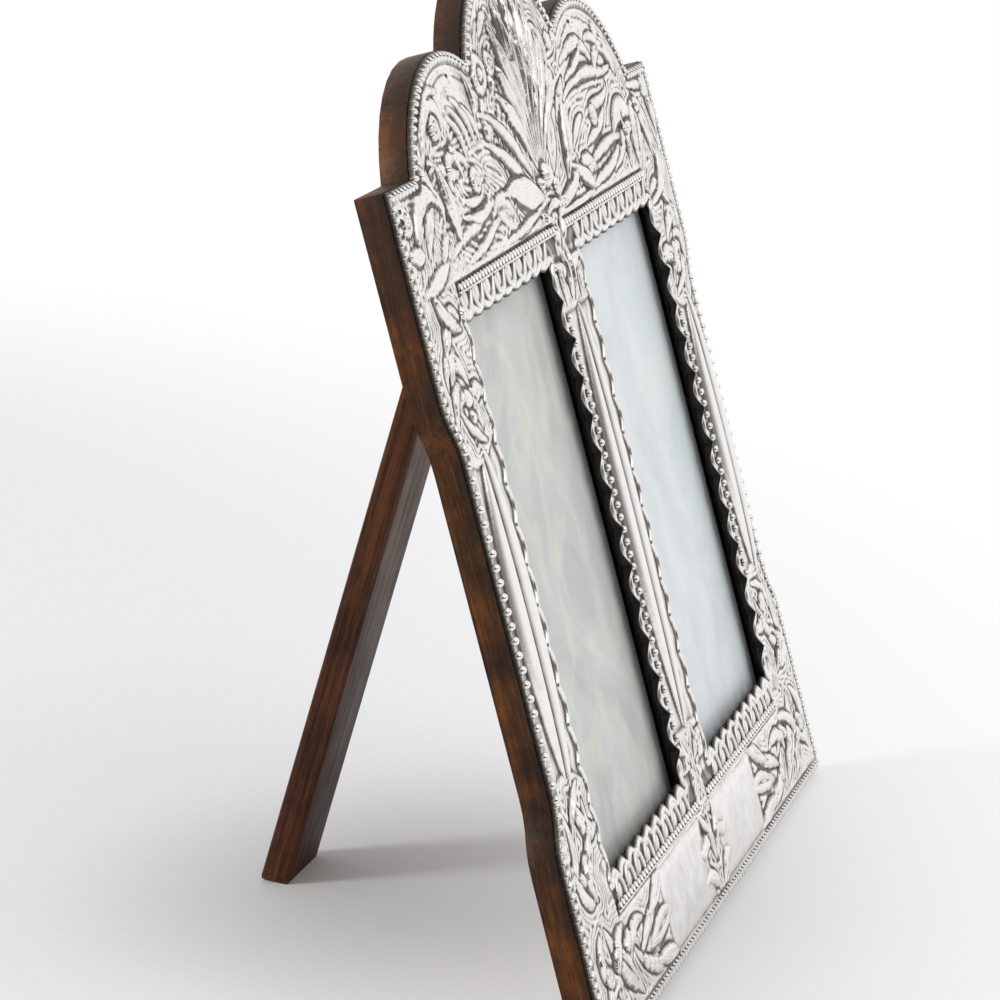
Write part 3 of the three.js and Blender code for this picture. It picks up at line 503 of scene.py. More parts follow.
# The foliage, drawn where the photo shows each form: x, y, heading, length, bend, curl, width, rise, kind and, for
# a few, the place of the belly. Stiles, rail and mullion are drawn on the right and mirrored.
fan = {"root": (0.5, 253.0), "turns": (-39, -29, -19.5, -10, -1, 8, 17, 27, 37), "spread": 39, "length": 58.0,
       "width": 7.4, "rise": 3.9}
leaves = {
    "ground": {"linePitch": 1.9, "lineRise": 1.3, "hairPitch": 1.8, "hairRise": 1.0},
    "crestLeft": [
        (-116, 242, 16, 60, -24, 40, 4.4, 2.2, "plain"), (-100, 238, 8, 46, 16, -30, 3.6, 1.9, "plain"),
        (-96, 252, -14, 40, 40, -30, 4.2, 2.1, "plain"), (-94, 258, -24, 30, 50, 0, 3.4, 1.9, "plain"),
        (-66, 246, 34, 30, -50, -60, 4.4, 2.4, "plain"), (-64, 269, 112, 26, 34, 20, 3.2, 1.9, "plain"),
        (-70, 268, 112, 24, 34, 20, 3.0, 1.9, "plain"), (-76, 267, 108, 22, 34, 20, 3.0, 1.8, "plain"),
        (-58, 270, 116, 22, 34, 20, 3.0, 1.8, "plain"), (-112, 270, -14, 26, -10, 40, 5, 2.2, "veined"),
        (-84, 262, 104, 34, 150, 170, 3.6, 2.3, "plain"), (-96, 268, 30, 20, -60, -60, 3.6, 2.0, "plain"),
        (-120, 272, 74, 42, -80, -120, 7.4, 3.0, "echoed"), (-112, 290, 20, 22, -36, 0, 3.2, 1.8, "plain"),
        (-136, 246, 74, 22, -60, 0, 7, 1.9, "veined"), (-126, 240, 70, 18, -70, 0, 5, 1.9, "corded"),
        (-146, 243, 88, 54, -120, -70, 8, 3.1, "echoed"), (-103, 244, 98, 28, 26, -30, 8.4, 3.0, "plain"),
        (-150, 237, 4, 32, 12, 0, 6, 2.0, "veined"), (-154, 250, -16, 14, 20, 0, 6, 2.3, "plain"),
        (-118, 262, 124, 22, 30, 0, 4.4, 2.1, "plain"), (-48, 264, 104, 22, -30, -30, 8.4, 2.6, "lobed"),
        (-58, 276, 84, 20, 30, 0, 4.4, 2.2, "plain"), (-40, 266, 52, 18, 10, 0, 2.8, 1.7, "plain"),
        (-36, 264, 54, 20, 10, 0, 2.8, 1.7, "plain"), (-32, 263, 58, 20, 10, 0, 2.8, 1.7, "plain"),
        (-28, 262, 64, 18, 10, 0, 2.8, 1.7, "plain"), (-34, 280, 100, 18, -60, -80, 4.4, 2.2, "plain"),
        (-26, 278, 84, 22, 30, 60, 4.4, 2.2, "veined"), (-34, 300, 50, 18, -30, -60, 4.4, 2.0, "veined"),
        (-20, 262, 150, 24, -10, 0, 8, 1.8, "hollow"), (-9, 251, 146, 58, -14, 44, 4.6, 2.7, "plain"),
        (-12, 247, 156, 50, -26, 40, 5.2, 2.7, "plain"), (-38, 240, 150, 24, 20, 0, 10, 1.8, "hollow"),
        (-6, 243, 166, 44, -16, 46, 11.5, 3.5, "plain", 0.42), (-62, 236.5, 6, 64, 4, -8, 3.2, 2.2, "plain"),
    ],
    "crestRight": [
        (56, 238, 12, 46, -10, 20, 3.8, 2.0, "plain"), (54, 244, 18, 52, -20, -10, 4.0, 2.1, "plain"),
        (86, 240, 16, 30, 10, 30, 3.6, 2.0, "plain"), (60, 252, 20, 34, -30, 60, 4.2, 2.1, "veined"),
        (42, 254, 44, 22, -40, 0, 4.2, 2.1, "plain"), (40, 242, 34, 26, -60, 0, 9, 2.3, "veined"),
        (15, 264, 62, 22, -60, -40, 5, 2.2, "lobed"), (20, 270, 66, 24, -60, -40, 5, 2.2, "lobed"),
        (30, 266, 40, 22, -30, 30, 5, 2.1, "veined"), (32, 278, 70, 26, 60, 60, 5, 2.2, "lobed"),
        (38, 286, 10, 18, 60, 0, 4, 2.0, "plain"), (50, 282, 26, 46, -60, -20, 5.4, 2.3, "veined"),
        (52, 276, 20, 30, -20, 50, 4, 2.1, "plain"), (66, 262, 20, 36, -60, 90, 4.2, 2.2, "plain"),
        (44, 270, 26, 70, -74, 60, 4.6, 2.7, "plain"), (88, 272, 70, 22, -60, -60, 5, 2.3, "veined"),
        (116, 270, 114, 30, 50, 60, 6, 2.6, "echoed"), (106, 282, 150, 22, 20, 40, 4, 2.0, "plain"),
        (94, 250, 56, 36, -100, -40, 9, 3.0, "echoed"), (100, 246, 40, 24, -60, 0, 6, 2.4, "fluted"),
        (120, 236, 84, 26, -30, 0, 14, 2.5, "veined"), (108, 238, 80, 20, 30, 0, 5.4, 2.2, "plain"),
        (140, 238, 96, 28, 50, 30, 7, 2.6, "echoed"), (152, 244, 100, 20, 20, 0, 4.4, 2.1, "plain"),
        (126, 264, 10, 20, -30, 0, 4.6, 2.2, "veined"), (12, 250, 60, 26, 6, 0, 9.5, 1.8, "hollow"),
        (26, 243, 66, 32, -6, 20, 8, 3.3, "plain", 0.6), (-4, 240, 20, 16, -50, 0, 3.4, 2.3, "plain"),
        (6, 240, -6, 40, 50, -10, 5, 2.9, "plain"), (34, 250, -24, 26, -20, 30, 6, 2.8, "plain"),
        (4, 236.5, -2, 52, 6, 0, 2.8, 1.9, "plain"),
    ],
    "stile": [
        (138, 189, 100, 30, 70, 80, 7, 2.5, "lobed"), (130, 206, 60, 30, -60, -120, 6.4, 2.4, "veined"),
        (146, 214, 110, 30, 60, 60, 6.4, 2.4, "lobed"), (127, 192, 64, 26, -20, -150, 5, 2.4, "plain"),
        (142, 200, 60, 26, 60, 120, 5, 2.3, "hollow"), (150, 196, 96, 20, 30, 120, 4.6, 2.0, "veined"),
        (124, 222, 14, 30, 30, 80, 6, 2.6, "plain"), (126, 188, 14, 24, 30, 30, 3.4, 2.0, "plain"),
        (138, 79, -106, 28, -50, -60, 7, 2.5, "lobed"), (130, 64, -60, 30, 60, 100, 6.4, 2.4, "plain"),
        (148, 76, -110, 28, 50, 90, 5, 2.3, "hollow"), (126, 74, -80, 24, 40, 60, 5, 2.1, "veined"),
        (151, 58, -100, 24, -60, -90, 5, 2.2, "lobed"), (134, 44, 30, 22, 60, 120, 5, 2.4, "plain"),
        (126, 80, -10, 24, -40, -40, 3.4, 2.0, "plain"),
    ],
    "rail": [
        (74, 27, -14, 34, 10, -40, 5, 1.9, "veined"), (80, 7, 10, 36, 10, 40, 5.6, 2.0, "veined"),
        (90, 24, 164, 30, -10, -60, 6.4, 2.3, "veined"), (94, 16, 176, 34, -24, 50, 7.4, 2.4, "hollow"),
        (92, 10, 190, 30, -10, 40, 6, 2.2, "veined"), (106, 20, 60, 26, -120, -90, 6, 2.4, "plain"),
        (96, 26, 20, 28, -60, -60, 5, 2.1, "lobed"), (112, 7, 46, 38, -10, 30, 10, 2.6, "veined"),
        (126, 6, 50, 30, -14, 30, 6, 2.3, "veined"), (118, 31, -4, 30, -60, -80, 6, 2.4, "plain"),
        (152, 10, 120, 26, 60, 90, 6, 2.3, "lobed"), (142, 36, -30, 20, -60, -100, 5, 2.2, "plain"),
    ],
    "middle": [
        (2, 30, -60, 24, 60, 80, 5, 2.3, "lobed"), (2, 4, 60, 22, -50, -60, 5, 2.3, "lobed"),
        (1, 14, 80, 22, -30, 0, 4.2, 2.4, "fluted"), (3, 215, 60, 22, -60, -60, 5, 2.4, "plain"),
        (2, 226, 80, 20, -50, -60, 5, 2.6, "plain"), (9, 206, 86, 20, -20, 60, 4.2, 2.0, "veined"),
        (2, 208, 88, 20, -6, 0, 3.6, 2.2, "plain"), (3, 48, -50, 16, 50, 0, 4.5, 2.3, "lobed"),
        (3, 50, 50, 16, -50, 0, 4.5, 2.3, "lobed"), (8, 60, -80, 18, 30, -60, 4.2, 2.0, "veined"),
    ],
    "bosses": [
        (136, 203, 3.0, 2.4, 1), (104, 14, 2.6, 2.6, 1), (144, 22, 3.6, 2.6, 1), (120, 226, 2.4, 2.2, 0),
    ],
    "crestBosses": [
        (-103, 281, 4.6, 3.0, 1), (-91, 272, 2.4, 2.4, 0), (-150, 259, 4.4, 2.6, 1), (-75, 261, 4.6, 2.5, 1),
        (-44, 290, 7.0, 2.4, 1), (-31, 292, 4.6, 2.3, 1), (-116, 271, 2.4, 2.4, 0), (74, 261, 4.0, 2.4, 1),
        (147, 262, 3.8, 2.4, 1), (101, 288, 3.0, 2.3, 1), (42, 291, 3.4, 2.3, 1), (0, 251, 4.4, 3.4, 0),
        (10, 246, 3.2, 3.0, 1), (-8, 249, 2.6, 3.0, 0), (131, 257, 3.0, 2.3, 0),
    ],
}
panel = {"start": 9.0, "end": 70.0, "bottom": 4.6, "top": 33.0, "rise": 0.55}

absX = np.abs(placeX)
inPanel = np.minimum.reduce([absX - panel["start"], panel["end"] - absX, placeY - panel["bottom"],
                             panel["top"] - placeY])
rays = []
for turn in fan["turns"]:
    away = abs(turn) / fan["spread"]
    rays.append((fan["root"][0] + turn * 0.09, fan["root"][1] + 1 - away, 90 - turn,
                 fan["length"] * (1 - 0.3 * away ** 2), -turn * 0.3, 0, fan["width"],
                 fan["rise"] * (1 - 0.12 * away), "ridged", 0.7))
mirrored = leaves["stile"] + leaves["rail"] + leaves["middle"]
crest = leaves["crestLeft"] + leaves["crestRight"]
gaps = np.full(shape, grid["reach"])
for leaf in mirrored:
    nearForm(gaps, *leaf)
gaps = np.where(placeX >= 0, gaps, gaps[:, ::-1])
for leaf in crest + rays:
    nearForm(gaps, *leaf)
# between the forms the ground is filled with lines that follow them, and across the lobes' tops with hair-like ones
ground = leaves["ground"]
uneven = waves(26, 21) * 0.5 + waves(9, 22) * 0.22
lines = ground["lineRise"] * (0.5 + 0.5 * np.cos(math.tau * (gaps + uneven) / ground["linePitch"])) ** 0.8
hair = ground["hairRise"] * (0.5 + 0.5 * np.cos(math.tau * (outerDistance + uneven) / ground["hairPitch"]))
lobeTop = smooth(placeY, 276, 282) * smooth(absX, 47, 56) * (1 - smooth(outerDistance, 15, 17))
foliage = (lines * (1 - lobeTop) + hair * lobeTop) * (1 - smooth(inPanel, -1.5, 0.5))
for leaf in mirrored:
    chase(foliage, *leaf)
for stud in leaves["bosses"]:
    boss(foliage, *stud)
foliage = np.where(placeX >= 0, foliage, foliage[:, ::-1])
for leaf in crest + sorted(rays, key=lambda ray: -abs(90 - ray[2])):
    chase(foliage, *leaf)
for stud in leaves["crestBosses"]:
    boss(foliage, *stud)
print("foliage chased")

# The hand of the maker: the left and right halves don't match exactly
sway = {"size": 34.0, "reach": 0.9}
shiftX, shiftY = waves(sway["size"], 3) * sway["reach"], waves(sway["size"], 4) * sway["reach"]
column = np.clip(np.rint((placeX + shiftX - gridX[0]) / grid["pitch"]).astype(int), 0, shape[1] - 1)
row = np.clip(np.rint((placeY + shiftY - gridY[0]) / grid["pitch"]).astype(int), 0, shape[0] - 1)
foliage = blurred(foliage[row, column], 0.3)
foliage = np.maximum(foliage, 0) + 0.05 * (waves(1.7, 8, 9) + 1)
contour = (gaps + 0.6 * uneven)[row, column]

# Where the foliage stands, and the plain ground, edges, spindles and panels that take its place elsewhere.
# A pair of spindles has a centre, a half length, the width of one and the space between their two lines.
spindle = {"rise": 2.9, "mullionHalf": 73.5, "waistHalf": 54.0}
pairs = [(1.2, spindle["mullionHalf"], 12.0, 9.5), (137.5, spindle["waistHalf"], 12.0, 9.0),
         (-134.6, spindle["waistHalf"], 13.4, 11.0)]
rope = {"top": 233.2, "bottom": 36.0, "reach": 118.0, "overlap": 2.6}
middleY = (board["waistBottom"] + board["waistTop"]) / 2
leafy = smooth(outerDistance, 3.6, 5.4) * smooth(windowDistance, 2.6, 4.0)
hollowTop = middleY + spindle["waistHalf"] - 5 * np.cos((absX - 137) / 10)
inWaist = (smooth(absX, 99, 101) * smooth(hollowTop - placeY, -1, 1.5)
           * smooth(placeY - 2 * middleY + hollowTop, -1, 1.5))
inMullion = smooth(18 - absX, 0, 1) * smooth(spindle["mullionHalf"] - np.abs(placeY - middleY), -1, 1.5)
leafy *= 1 - np.maximum(inWaist, inMullion)
ropeBand = smooth(rope["reach"] + 1 - absX, -1, 1) * smooth(absX, 5, 7)
leafy *= (1 - ropeBand * smooth(placeY, window["top"] - 2, window["top"])
          * smooth(rope["top"] + rope["overlap"] - placeY, -0.6, 0.6))
leafy *= (1 - ropeBand * smooth(window["bottom"] + 1 - placeY, -1, 1)
          * smooth(placeY - rope["bottom"] + rope["overlap"], -0.6, 0.6))
height = foliage * leafy

# smooth raised panels of the rail, slightly crowned and uneven from the hammer
crown = smooth(inPanel, -1.5, 4.0) * panel["rise"] + 0.3 * smooth(inPanel, 0, 12)
dented = 0.2 * waves(17, 5) + 0.08 * waves(7, 6)
height = np.maximum(height, crown + dented * smooth(inPanel, 0, 4))

# long smooth spindles in pairs, on the stiles and the mullion
for centreX, reach, width, spacing in pairs:
    share = np.clip((placeY - middleY) / reach, -1, 1)
    for side, power in ((1, 0.45), (-1, 0.8)):
        taper = np.cos(share * math.pi / 2 * 0.985) ** power
        line = centreX + side * spacing / 2 * taper + 0.4 * np.sin(placeY / 31 + centreX)
        v = (placeX - line) / np.maximum(width / 2 * taper, 0.2)
        dome = spindle["rise"] * taper ** 0.8 * np.clip(1 - v * v, 0, 1) ** 0.92
        height = np.maximum(height, np.where(np.abs(share) < 1, dome, 0))

# the lip that is turned down around each window, lower at its ends, and the plain bed of the beads along the edge
lip = (1.25 * smooth(windowDistance, 0.0, 1.6) * (1 - 0.8 * smooth(windowDistance, 2.0, 3.4))
       * (1 - smooth(windowDistance, 6, 8.5)))
beside = (absX - windowCentre) ** 2 > (window["width"] / 2 - 3) ** 2
height = np.maximum(height, np.where(beside, lip, 0.8 * lip))
bed = 0.35 * smooth(outerDistance, 0.2, 1.2) * (1 - 0.7 * smooth(outerDistance, 3.6, 5.0))
height = np.maximum(height, bed * (outerDistance < 8))
height = np.minimum(height, 0.8 + 0.26 * np.maximum(placeY, 0))

# the seats of the silver pins are flat
pins = [(151, 263), (153, 66), (153, 8), (75, 294), (13, 239)]
toPin = np.minimum.reduce([np.hypot(placeX - side * x, placeY - y) for x, y in pins for side in (-1, 1)])
height *= smooth(toPin, 1.9, 3.0)
print("relief drawn, highest", round(float(height[inSheet & ~inOpening].max()), 2), "mm")

# Tarnish stays where the polishing cloth doesn't reach, in hollows of three widths. Under the rows of beads and in
# the bands between them and the windows the darkening is tarnish with painted shade. The fan is duller, and panels,
# spindles and pin seats are the brightest.
deepest = 0.86
hollows = sum(share * (blurred(height, width) - height) for share, width in ((2.9, 0.5), (1.6, 1.1), (0.42, 2.6)))
ropeGap = {name: placeY - rope[name] for name in ("top", "bottom")}
underRows = np.maximum(smooth(-np.abs(outerDistance - 2.0), -2.6, -1.2), ropeBand * np.maximum(
    smooth(-np.abs(ropeGap["top"]), -2.6, -1.4), smooth(-np.abs(ropeGap["bottom"]), -2.6, -1.4)))
bands = ropeBand * np.maximum(smooth(4 - np.abs(ropeGap["top"] + 4), 0, 1.5),
                              smooth(4 - np.abs(ropeGap["bottom"] - 4), 0, 1.5))
recess = np.clip(0.15 + hollows + 0.5 * underRows + 0.5 * bands, 0, deepest)
rootX, rootY = fan["root"]
onFan = smooth(66 - np.hypot(placeX - rootX, placeY - rootY), 0, 8) * smooth(placeY - rootY - 1.1 * absX, -4, 4)
recess = np.clip(recess + 0.13 * onFan * leafy, 0, deepest) * (1 - 0.45 * smooth(inPanel, 0, 1.5))
recess *= 1 - 0.6 * np.maximum(inWaist, inMullion) * smooth(height, 1.2, 2.2)
recess *= smooth(toPin, 1.6, 3.4)
chased = leafy * (1 - smooth(inPanel, -1.5, 0.0))

# Cells of the grid that are silver; their rim is drawn onto the real edges
signed = np.where(inSheet & ~inOpening, 1, -1) * np.minimum(outerDistance, windowDistance)
kept = signed > -0.45 * grid["pitch"]
cells = kept[:-1, :-1] & kept[1:, :-1] & kept[:-1, 1:] & kept[1:, 1:]
for _ in range(4):  # no two cells may touch by a corner alone
    a, b, c, d = cells[:-1, :-1], cells[:-1, 1:], cells[1:, :-1], cells[1:, 1:]
    pinched = (a & d & ~b & ~c) | (b & c & ~a & ~d)
    if not pinched.any():
        break
    cells[:-1, :-1] &= ~pinched
    cells[:-1, 1:] &= ~pinched
around = np.zeros(shape, int)
for rows in (slice(0, -1), slice(1, None)):
    for columns in (slice(0, -1), slice(1, None)):
        around[rows, columns] += cells
rim = (around > 0) & (around < 4)
toWindow = windowDistance < outerDistance
silverX = np.where(rim, np.where(toWindow, windowX, outerX), placeX)
silverY = np.where(rim, np.where(toWindow, windowY, outerY), placeY)
# between its teeth the crimped edge stands off the wood
teeth = 2.5 * (1 - smooth(windowDistance, 0.4, 3.4))
toothPitch = (window["top"] - windowLow) / window["teeth"]
cusp = np.abs(np.sin(math.pi * (placeY - window["top"]) / toothPitch))
onRight = (placeX - np.sign(placeX) * windowCentre) > 0
wave = np.where(onRight, 1 - 0.85 * cusp ** 1.3, 0.3 * (1 - cusp ** 2)) * (0.85 + 0.3 * waves(15, 31))
raised = teeth * wave * smooth(np.abs(absX - windowCentre), 46, 48)
raised *= smooth(placeY, window["bottom"] - 1, window["bottom"] + 4) * smooth(window["top"] - 1 - placeY, 0, 4)
height = np.maximum(height, raised)
silverZ = sheet["front"] + np.where(rim, raised, height)

cuts = {"top": 226.0, "bottom": 44.8}
cellX = (placeX[:-1, :-1] + placeX[1:, 1:]) / 2
cellY = (placeY[:-1, :-1] + placeY[1:, 1:]) / 2
onCrest, onRail = cellY > cuts["top"], cellY < cuts["bottom"]
between = (cellY < cuts["top"]) & (cellY > cuts["bottom"])
regions = {
    "silverCrestLeft": onCrest & (cellX < 0),
    "silverCrestRight": onCrest & (cellX > 0),
    "silverStileLeft": between & (cellX < -windowCentre),
    "silverStileRight": between & (cellX > windowCentre),
    "silverMullion": between & (np.abs(cellX) < windowCentre),
    "silverRailLeft": onRail & (cellX < 0),
    "silverRailRight": onRail & (cellX > 0),
}


def finishPiece(name, mesh, body, node, material=None):
    if material:
        mesh.materials.clear()
        mesh.materials.append(material)
    piece = addObject(name, mesh)
    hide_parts(node)
    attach(piece, body)


def setValues(mesh, label, values):
    mesh.attributes.new(label, "FLOAT", "POINT").data.foreach_set("value", values)


def printTriangles(mesh):
    print(mesh.name, "triangles", sum(len(p.vertices) - 2 for p in mesh.polygons))


def reliefPiece(name, mask):
    # top surface, a wall down to the sheet's back and a flat bottom make one closed body
    rows, columns = np.nonzero(mask)
    corner = rows * shape[1] + columns
    quads = np.stack([corner, corner + 1, corner + shape[1] + 1, corner + shape[1]], 1)
    used, compact = np.unique(quads, return_inverse=True)
    quads = compact.reshape(-1, 4)
    top = np.stack([silverX.ravel()[used], silverY.ravel()[used], silverZ.ravel()[used]], 1)
    edges = np.vstack([quads[:, [i, (i + 1) % 4]] for i in range(4)])
    both = np.sort(edges, 1)
    keys = both[:, 0].astype(np.int64) * len(used) + both[:, 1]
    unique, counts = np.unique(keys, return_counts=True)
    onward = dict(edges[np.isin(keys, unique[counts == 1])].tolist())
    points, faces = [top], quads.tolist()
    count = len(top)
    while onward:
        loop, here = [], next(iter(onward))
        while here in onward:
            loop.append(here)
            here = onward.pop(here)
        thin, low = top[loop].copy(), top[loop].copy()
        thin[:, 2] -= sheet["fold"]
        low[:, 2] = sheet["back"]
        points += [thin, low]
        size = len(loop)
        for i in range(size):
            j = (i + 1) % size
            faces.append((loop[i], count + i, count + j, loop[j]))
            faces.append((count + i, count + size + i, count + size + j, count + j))
        faces.append([count + size + i for i in reversed(range(size))])
        count += 2 * size
    mesh = bpy.data.meshes.new(name)
    mesh.from_pydata(ontoFace(np.vstack(points)).tolist(), [], faces)
    mesh.shade_smooth()
    # the walls down to the sheet's back take the darkest tone, tarnish with painted shade
    for label, field, onWalls in (("recess", recess, 1.15), ("contour", contour, 0), ("chasing", chased, 0)):
        values = np.full(count, onWalls, np.float32)
        values[:len(top)] = field.ravel()[used]
        setValues(mesh, label, values)
    mesh.set_sharp_from_angle(angle=math.radians(75))
    # the rim of the top is crisp all round
    ends = np.empty(len(mesh.edges) * 2, np.int64)
    mesh.edges.foreach_get("vertices", ends)
    ends = np.sort(ends.reshape(-1, 2), 1)
    crisp = np.isin(ends[:, 0] * len(used) + ends[:, 1], unique[counts == 1]) & (ends[:, 1] < len(used))
    sharp = mesh.attributes.get("sharp_edge") or mesh.attributes.new("sharp_edge", "BOOLEAN", "EDGE")
    before = np.empty(len(mesh.edges), bool)
    sharp.data.foreach_get("value", before)
    sharp.data.foreach_set("value", before | crisp)
    printTriangles(mesh)
    finishPiece(name, mesh, "frame", "silver_sheet", repousseSilver)


for name, mask in regions.items():
    reliefPiece(name, cells & mask)
print("silver sheet made")


# Beads, ropes and tongues: one small form repeated along a path
def rowTree(name, addForm):
    tree = bpy.data.node_groups.new(name, "GeometryNodeTree")
    for label, kind in (("Path", "Geometry"), ("Pitch", "Float"), ("Size", "Vector"), ("Tilt", "Float"),
                        ("Finish", "Material")):
        tree.interface.new_socket(label, in_out="INPUT", socket_type="NodeSocket" + kind)
    tree.interface.new_socket("Row", in_out="OUTPUT", socket_type="NodeSocketGeometry")
    given = addNode(tree, "NodeGroupInput").outputs
    form = addForm(tree)
    tilt = addNode(tree, "ShaderNodeCombineXYZ", {"Z": given["Tilt"]})
    turn = addNode(tree, "FunctionNodeEulerToRotation", {0: tilt})
    sized = addNode(tree, "GeometryNodeTransform", {"Geometry": form, "Rotation": turn, "Scale": given["Size"]})
    curve = addNode(tree, "GeometryNodeMeshToCurve", {0: given["Path"]})
    places = addNode(tree, "GeometryNodeCurveToPoints", {"Curve": curve, "Length": given["Pitch"]}, mode="LENGTH")
    aligned = addNode(tree, "FunctionNodeAlignRotationToVector", {"Vector": places.outputs["Tangent"]},
                      axis="X", pivot_axis="Z")
    rows = addNode(tree, "GeometryNodeInstanceOnPoints",
                   {"Points": places.outputs["Points"], "Instance": sized, "Rotation": aligned})
    real = addNode(tree, "GeometryNodeRealizeInstances", {0: rows})
    soft = addNode(tree, "GeometryNodeSetShadeSmooth", {0: real})
    finish = addNode(tree, "GeometryNodeSetMaterial", {"Geometry": soft, "Material": given["Finish"]})
    addNode(tree, "NodeGroupOutput", {"Row": finish})
    return tree


def addBead(tree):
    return addNode(tree, "GeometryNodeMeshUVSphere", {"Segments": 10, "Rings": 6, "Radius": 0.5})


def addTongue(tree):
    # a raised bow hanging between two cusps over a low dome, like a pressed petal
    body = addNode(tree, "GeometryNodeMeshUVSphere", {"Segments": 12, "Rings": 6, "Radius": 0.5})
    low = addNode(tree, "GeometryNodeTransform",
                  {"Geometry": body, "Translation": (0, 0.1, 0), "Scale": (0.55, 0.5, 0.55)})
    start, sweep = math.radians(205), math.radians(130)
    bow = addNode(tree, "GeometryNodeCurveArc",
                  {"Resolution": 14, "Radius": 0.5, "Start Angle": start, "Sweep Angle": sweep})
    wire = addNode(tree, "GeometryNodeCurvePrimitiveCircle", {"Resolution": 6, "Radius": 0.065})
    rim = addNode(tree, "GeometryNodeCurveToMesh", {"Curve": bow, "Profile Curve": wire, "Fill Caps": True})
    tall = addNode(tree, "GeometryNodeTransform",
                   {"Geometry": rim, "Translation": (0, 0.62, 0), "Scale": (1.08, 1.75, 7.0)})
    both = addNode(tree, "GeometryNodeJoinGeometry", {0: low})
    feed(both, {0: tall})
    return both


def converted(name, carrier):
    # the carrier's mesh as its modifiers leave it, in the carrier's place
    bpy.context.view_layer.update()
    made = bpy.data.meshes.new_from_object(carrier.evaluated_get(bpy.context.evaluated_depsgraph_get()))
    raw = carrier.data
    bpy.data.objects.remove(carrier)
    bpy.data.meshes.remove(raw)
    made.name = name
    return made


def repeatAlong(name, tree, paths, level, settings, shade):
    points, edges = [], []
    for path in paths:
        edges += [(i, i + 1) for i in range(len(points), len(points) + len(path) - 1)]
        points += [(x / 1000, y / 1000, (sheet["front"] + level) / 1000) for x, y in path]
    mesh = bpy.data.meshes.new(name)
    mesh.from_pydata(points, edges, [])
    carrier = addObject(name + "Path", mesh)
    modifier = carrier.modifiers.new(name, "NODES")
    modifier.node_group = tree
    sockets = {s.name: s.identifier for s in tree.interface.items_tree if s.in_out == "INPUT"}
    modifier[sockets["Pitch"]] = settings["pitch"] / 1000
    modifier[sockets["Size"]] = [v / 1000 for v in settings["size"]]
    modifier[sockets["Tilt"]] = math.radians(settings["tilt"])
    modifier[sockets["Finish"]] = repousseSilver
    made = converted(name, carrier)
    # tarnish and painted shade gather at the foot of each form
    corners = np.empty(len(made.vertices) * 3, np.float32)
    made.vertices.foreach_get("co", corners)
    above = corners[2::3] * 1000 - sheet["front"]
    low, high = shade
    setValues(made, "recess", deepest * np.clip(1 - (above - low) / (high - low), 0, 1).astype(np.float32) ** 1.3)
    made.transform(faceMatrix)
    printTriangles(made)
    finishPiece(name, made, "frame", "silver_sheet")


edgeLine = moved(outline, 2.3)
apart = np.hypot(edgeLine[:, None, 0] - outline[None, :, 0], edgeLine[:, None, 1] - outline[None, :, 1]).min(1)
edgeLine = edgeLine[apart > 2.2]
onWaist = (np.abs(edgeLine[:, 0]) > 100) & (edgeLine[:, 1] > 80) & (edgeLine[:, 1] < 190)
rightWaist, leftWaist = (np.nonzero(onWaist & (side * edgeLine[:, 0] > 0))[0] for side in (1, -1))
crestRun = edgeLine[rightWaist[-1] + 1:leftWaist[0]]
footRun = np.vstack([edgeLine[leftWaist[-1] + 1:], edgeLine[:rightWaist[0]]])
# along the foot the rope lies lower, so that nothing stands in front of the sheet's own edge
onFoot = footRun[:, 1] < 6
heelLeft, heelRight = np.nonzero(onFoot)[0][[0, -1]]
innerX = windowCentre + window["width"] / 2 + 6
mullionX = window["mullion"] / 2 - 5.6
ropeLines = [straight((side * 7, y), (side * rope["reach"], y), 2) for y in (rope["top"], rope["bottom"])
             for side in (-1, 1)]
pearl = {"pitch": 4.4, "size": (3.2, 4.3, 3.7), "tilt": 0}
knob = {"pitch": 4.2, "size": (2.6, 3.4, 3.4), "tilt": 22}
edgeRope = {"pitch": 3.4, "size": (2.5, 4.5, 3.3), "tilt": 28}
windowRope = {"pitch": 3.4, "size": (2.2, 4.3, 3.3), "tilt": -30}
tongue = {"pitch": 100 / 9, "size": (10.6, 13.0, 3.0), "tilt": 0, "above": 4.3, "below": 5.6}
upperLines, lowerLines = [], []
for centreX in (-windowCentre, windowCentre):
    near = centreX - window["width"] / 2 + tongue["pitch"] / 2
    far = centreX + window["width"] / 2 - tongue["pitch"] / 2
    high, low = window["top"] + tongue["above"], window["bottom"] - tongue["below"]
    upperLines.append(straight((near, high), (far + 0.5, high), 2))
    lowerLines.append(straight((far, low), (near - 0.5, low), 2))

beadRow = rowTree("beadRow", addBead)
tongueRow = rowTree("tongueRow", addTongue)
repeatAlong("waistPearls", beadRow, [edgeLine[rightWaist], edgeLine[leftWaist]], 0.0, pearl, (0.1, 1.1))
repeatAlong("inwardKnobs", beadRow, [straight((innerX, 84), (innerX, 184), 2),
                                     straight((-mullionX, 61), (-mullionX, 207), 2)], 0.3, knob, (0.3, 1.4))
repeatAlong("edgeRope", beadRow, [crestRun, footRun[:heelLeft], footRun[heelRight + 1:]], -0.25, edgeRope, (0.0, 1.1))
repeatAlong("footRope", beadRow, [footRun[onFoot]], -0.35, edgeRope, (0.0, 1.0))
repeatAlong("windowRopes", beadRow, ropeLines, 0.1, windowRope, (0.1, 1.2))
repeatAlong("upperTongues", tongueRow, upperLines, 0.0, tongue, (0.0, 0.9))
repeatAlong("lowerTongues", tongueRow, lowerLines, 0.0, tongue, (0.0, 0.9))
print("beads, ropes and tongues made")


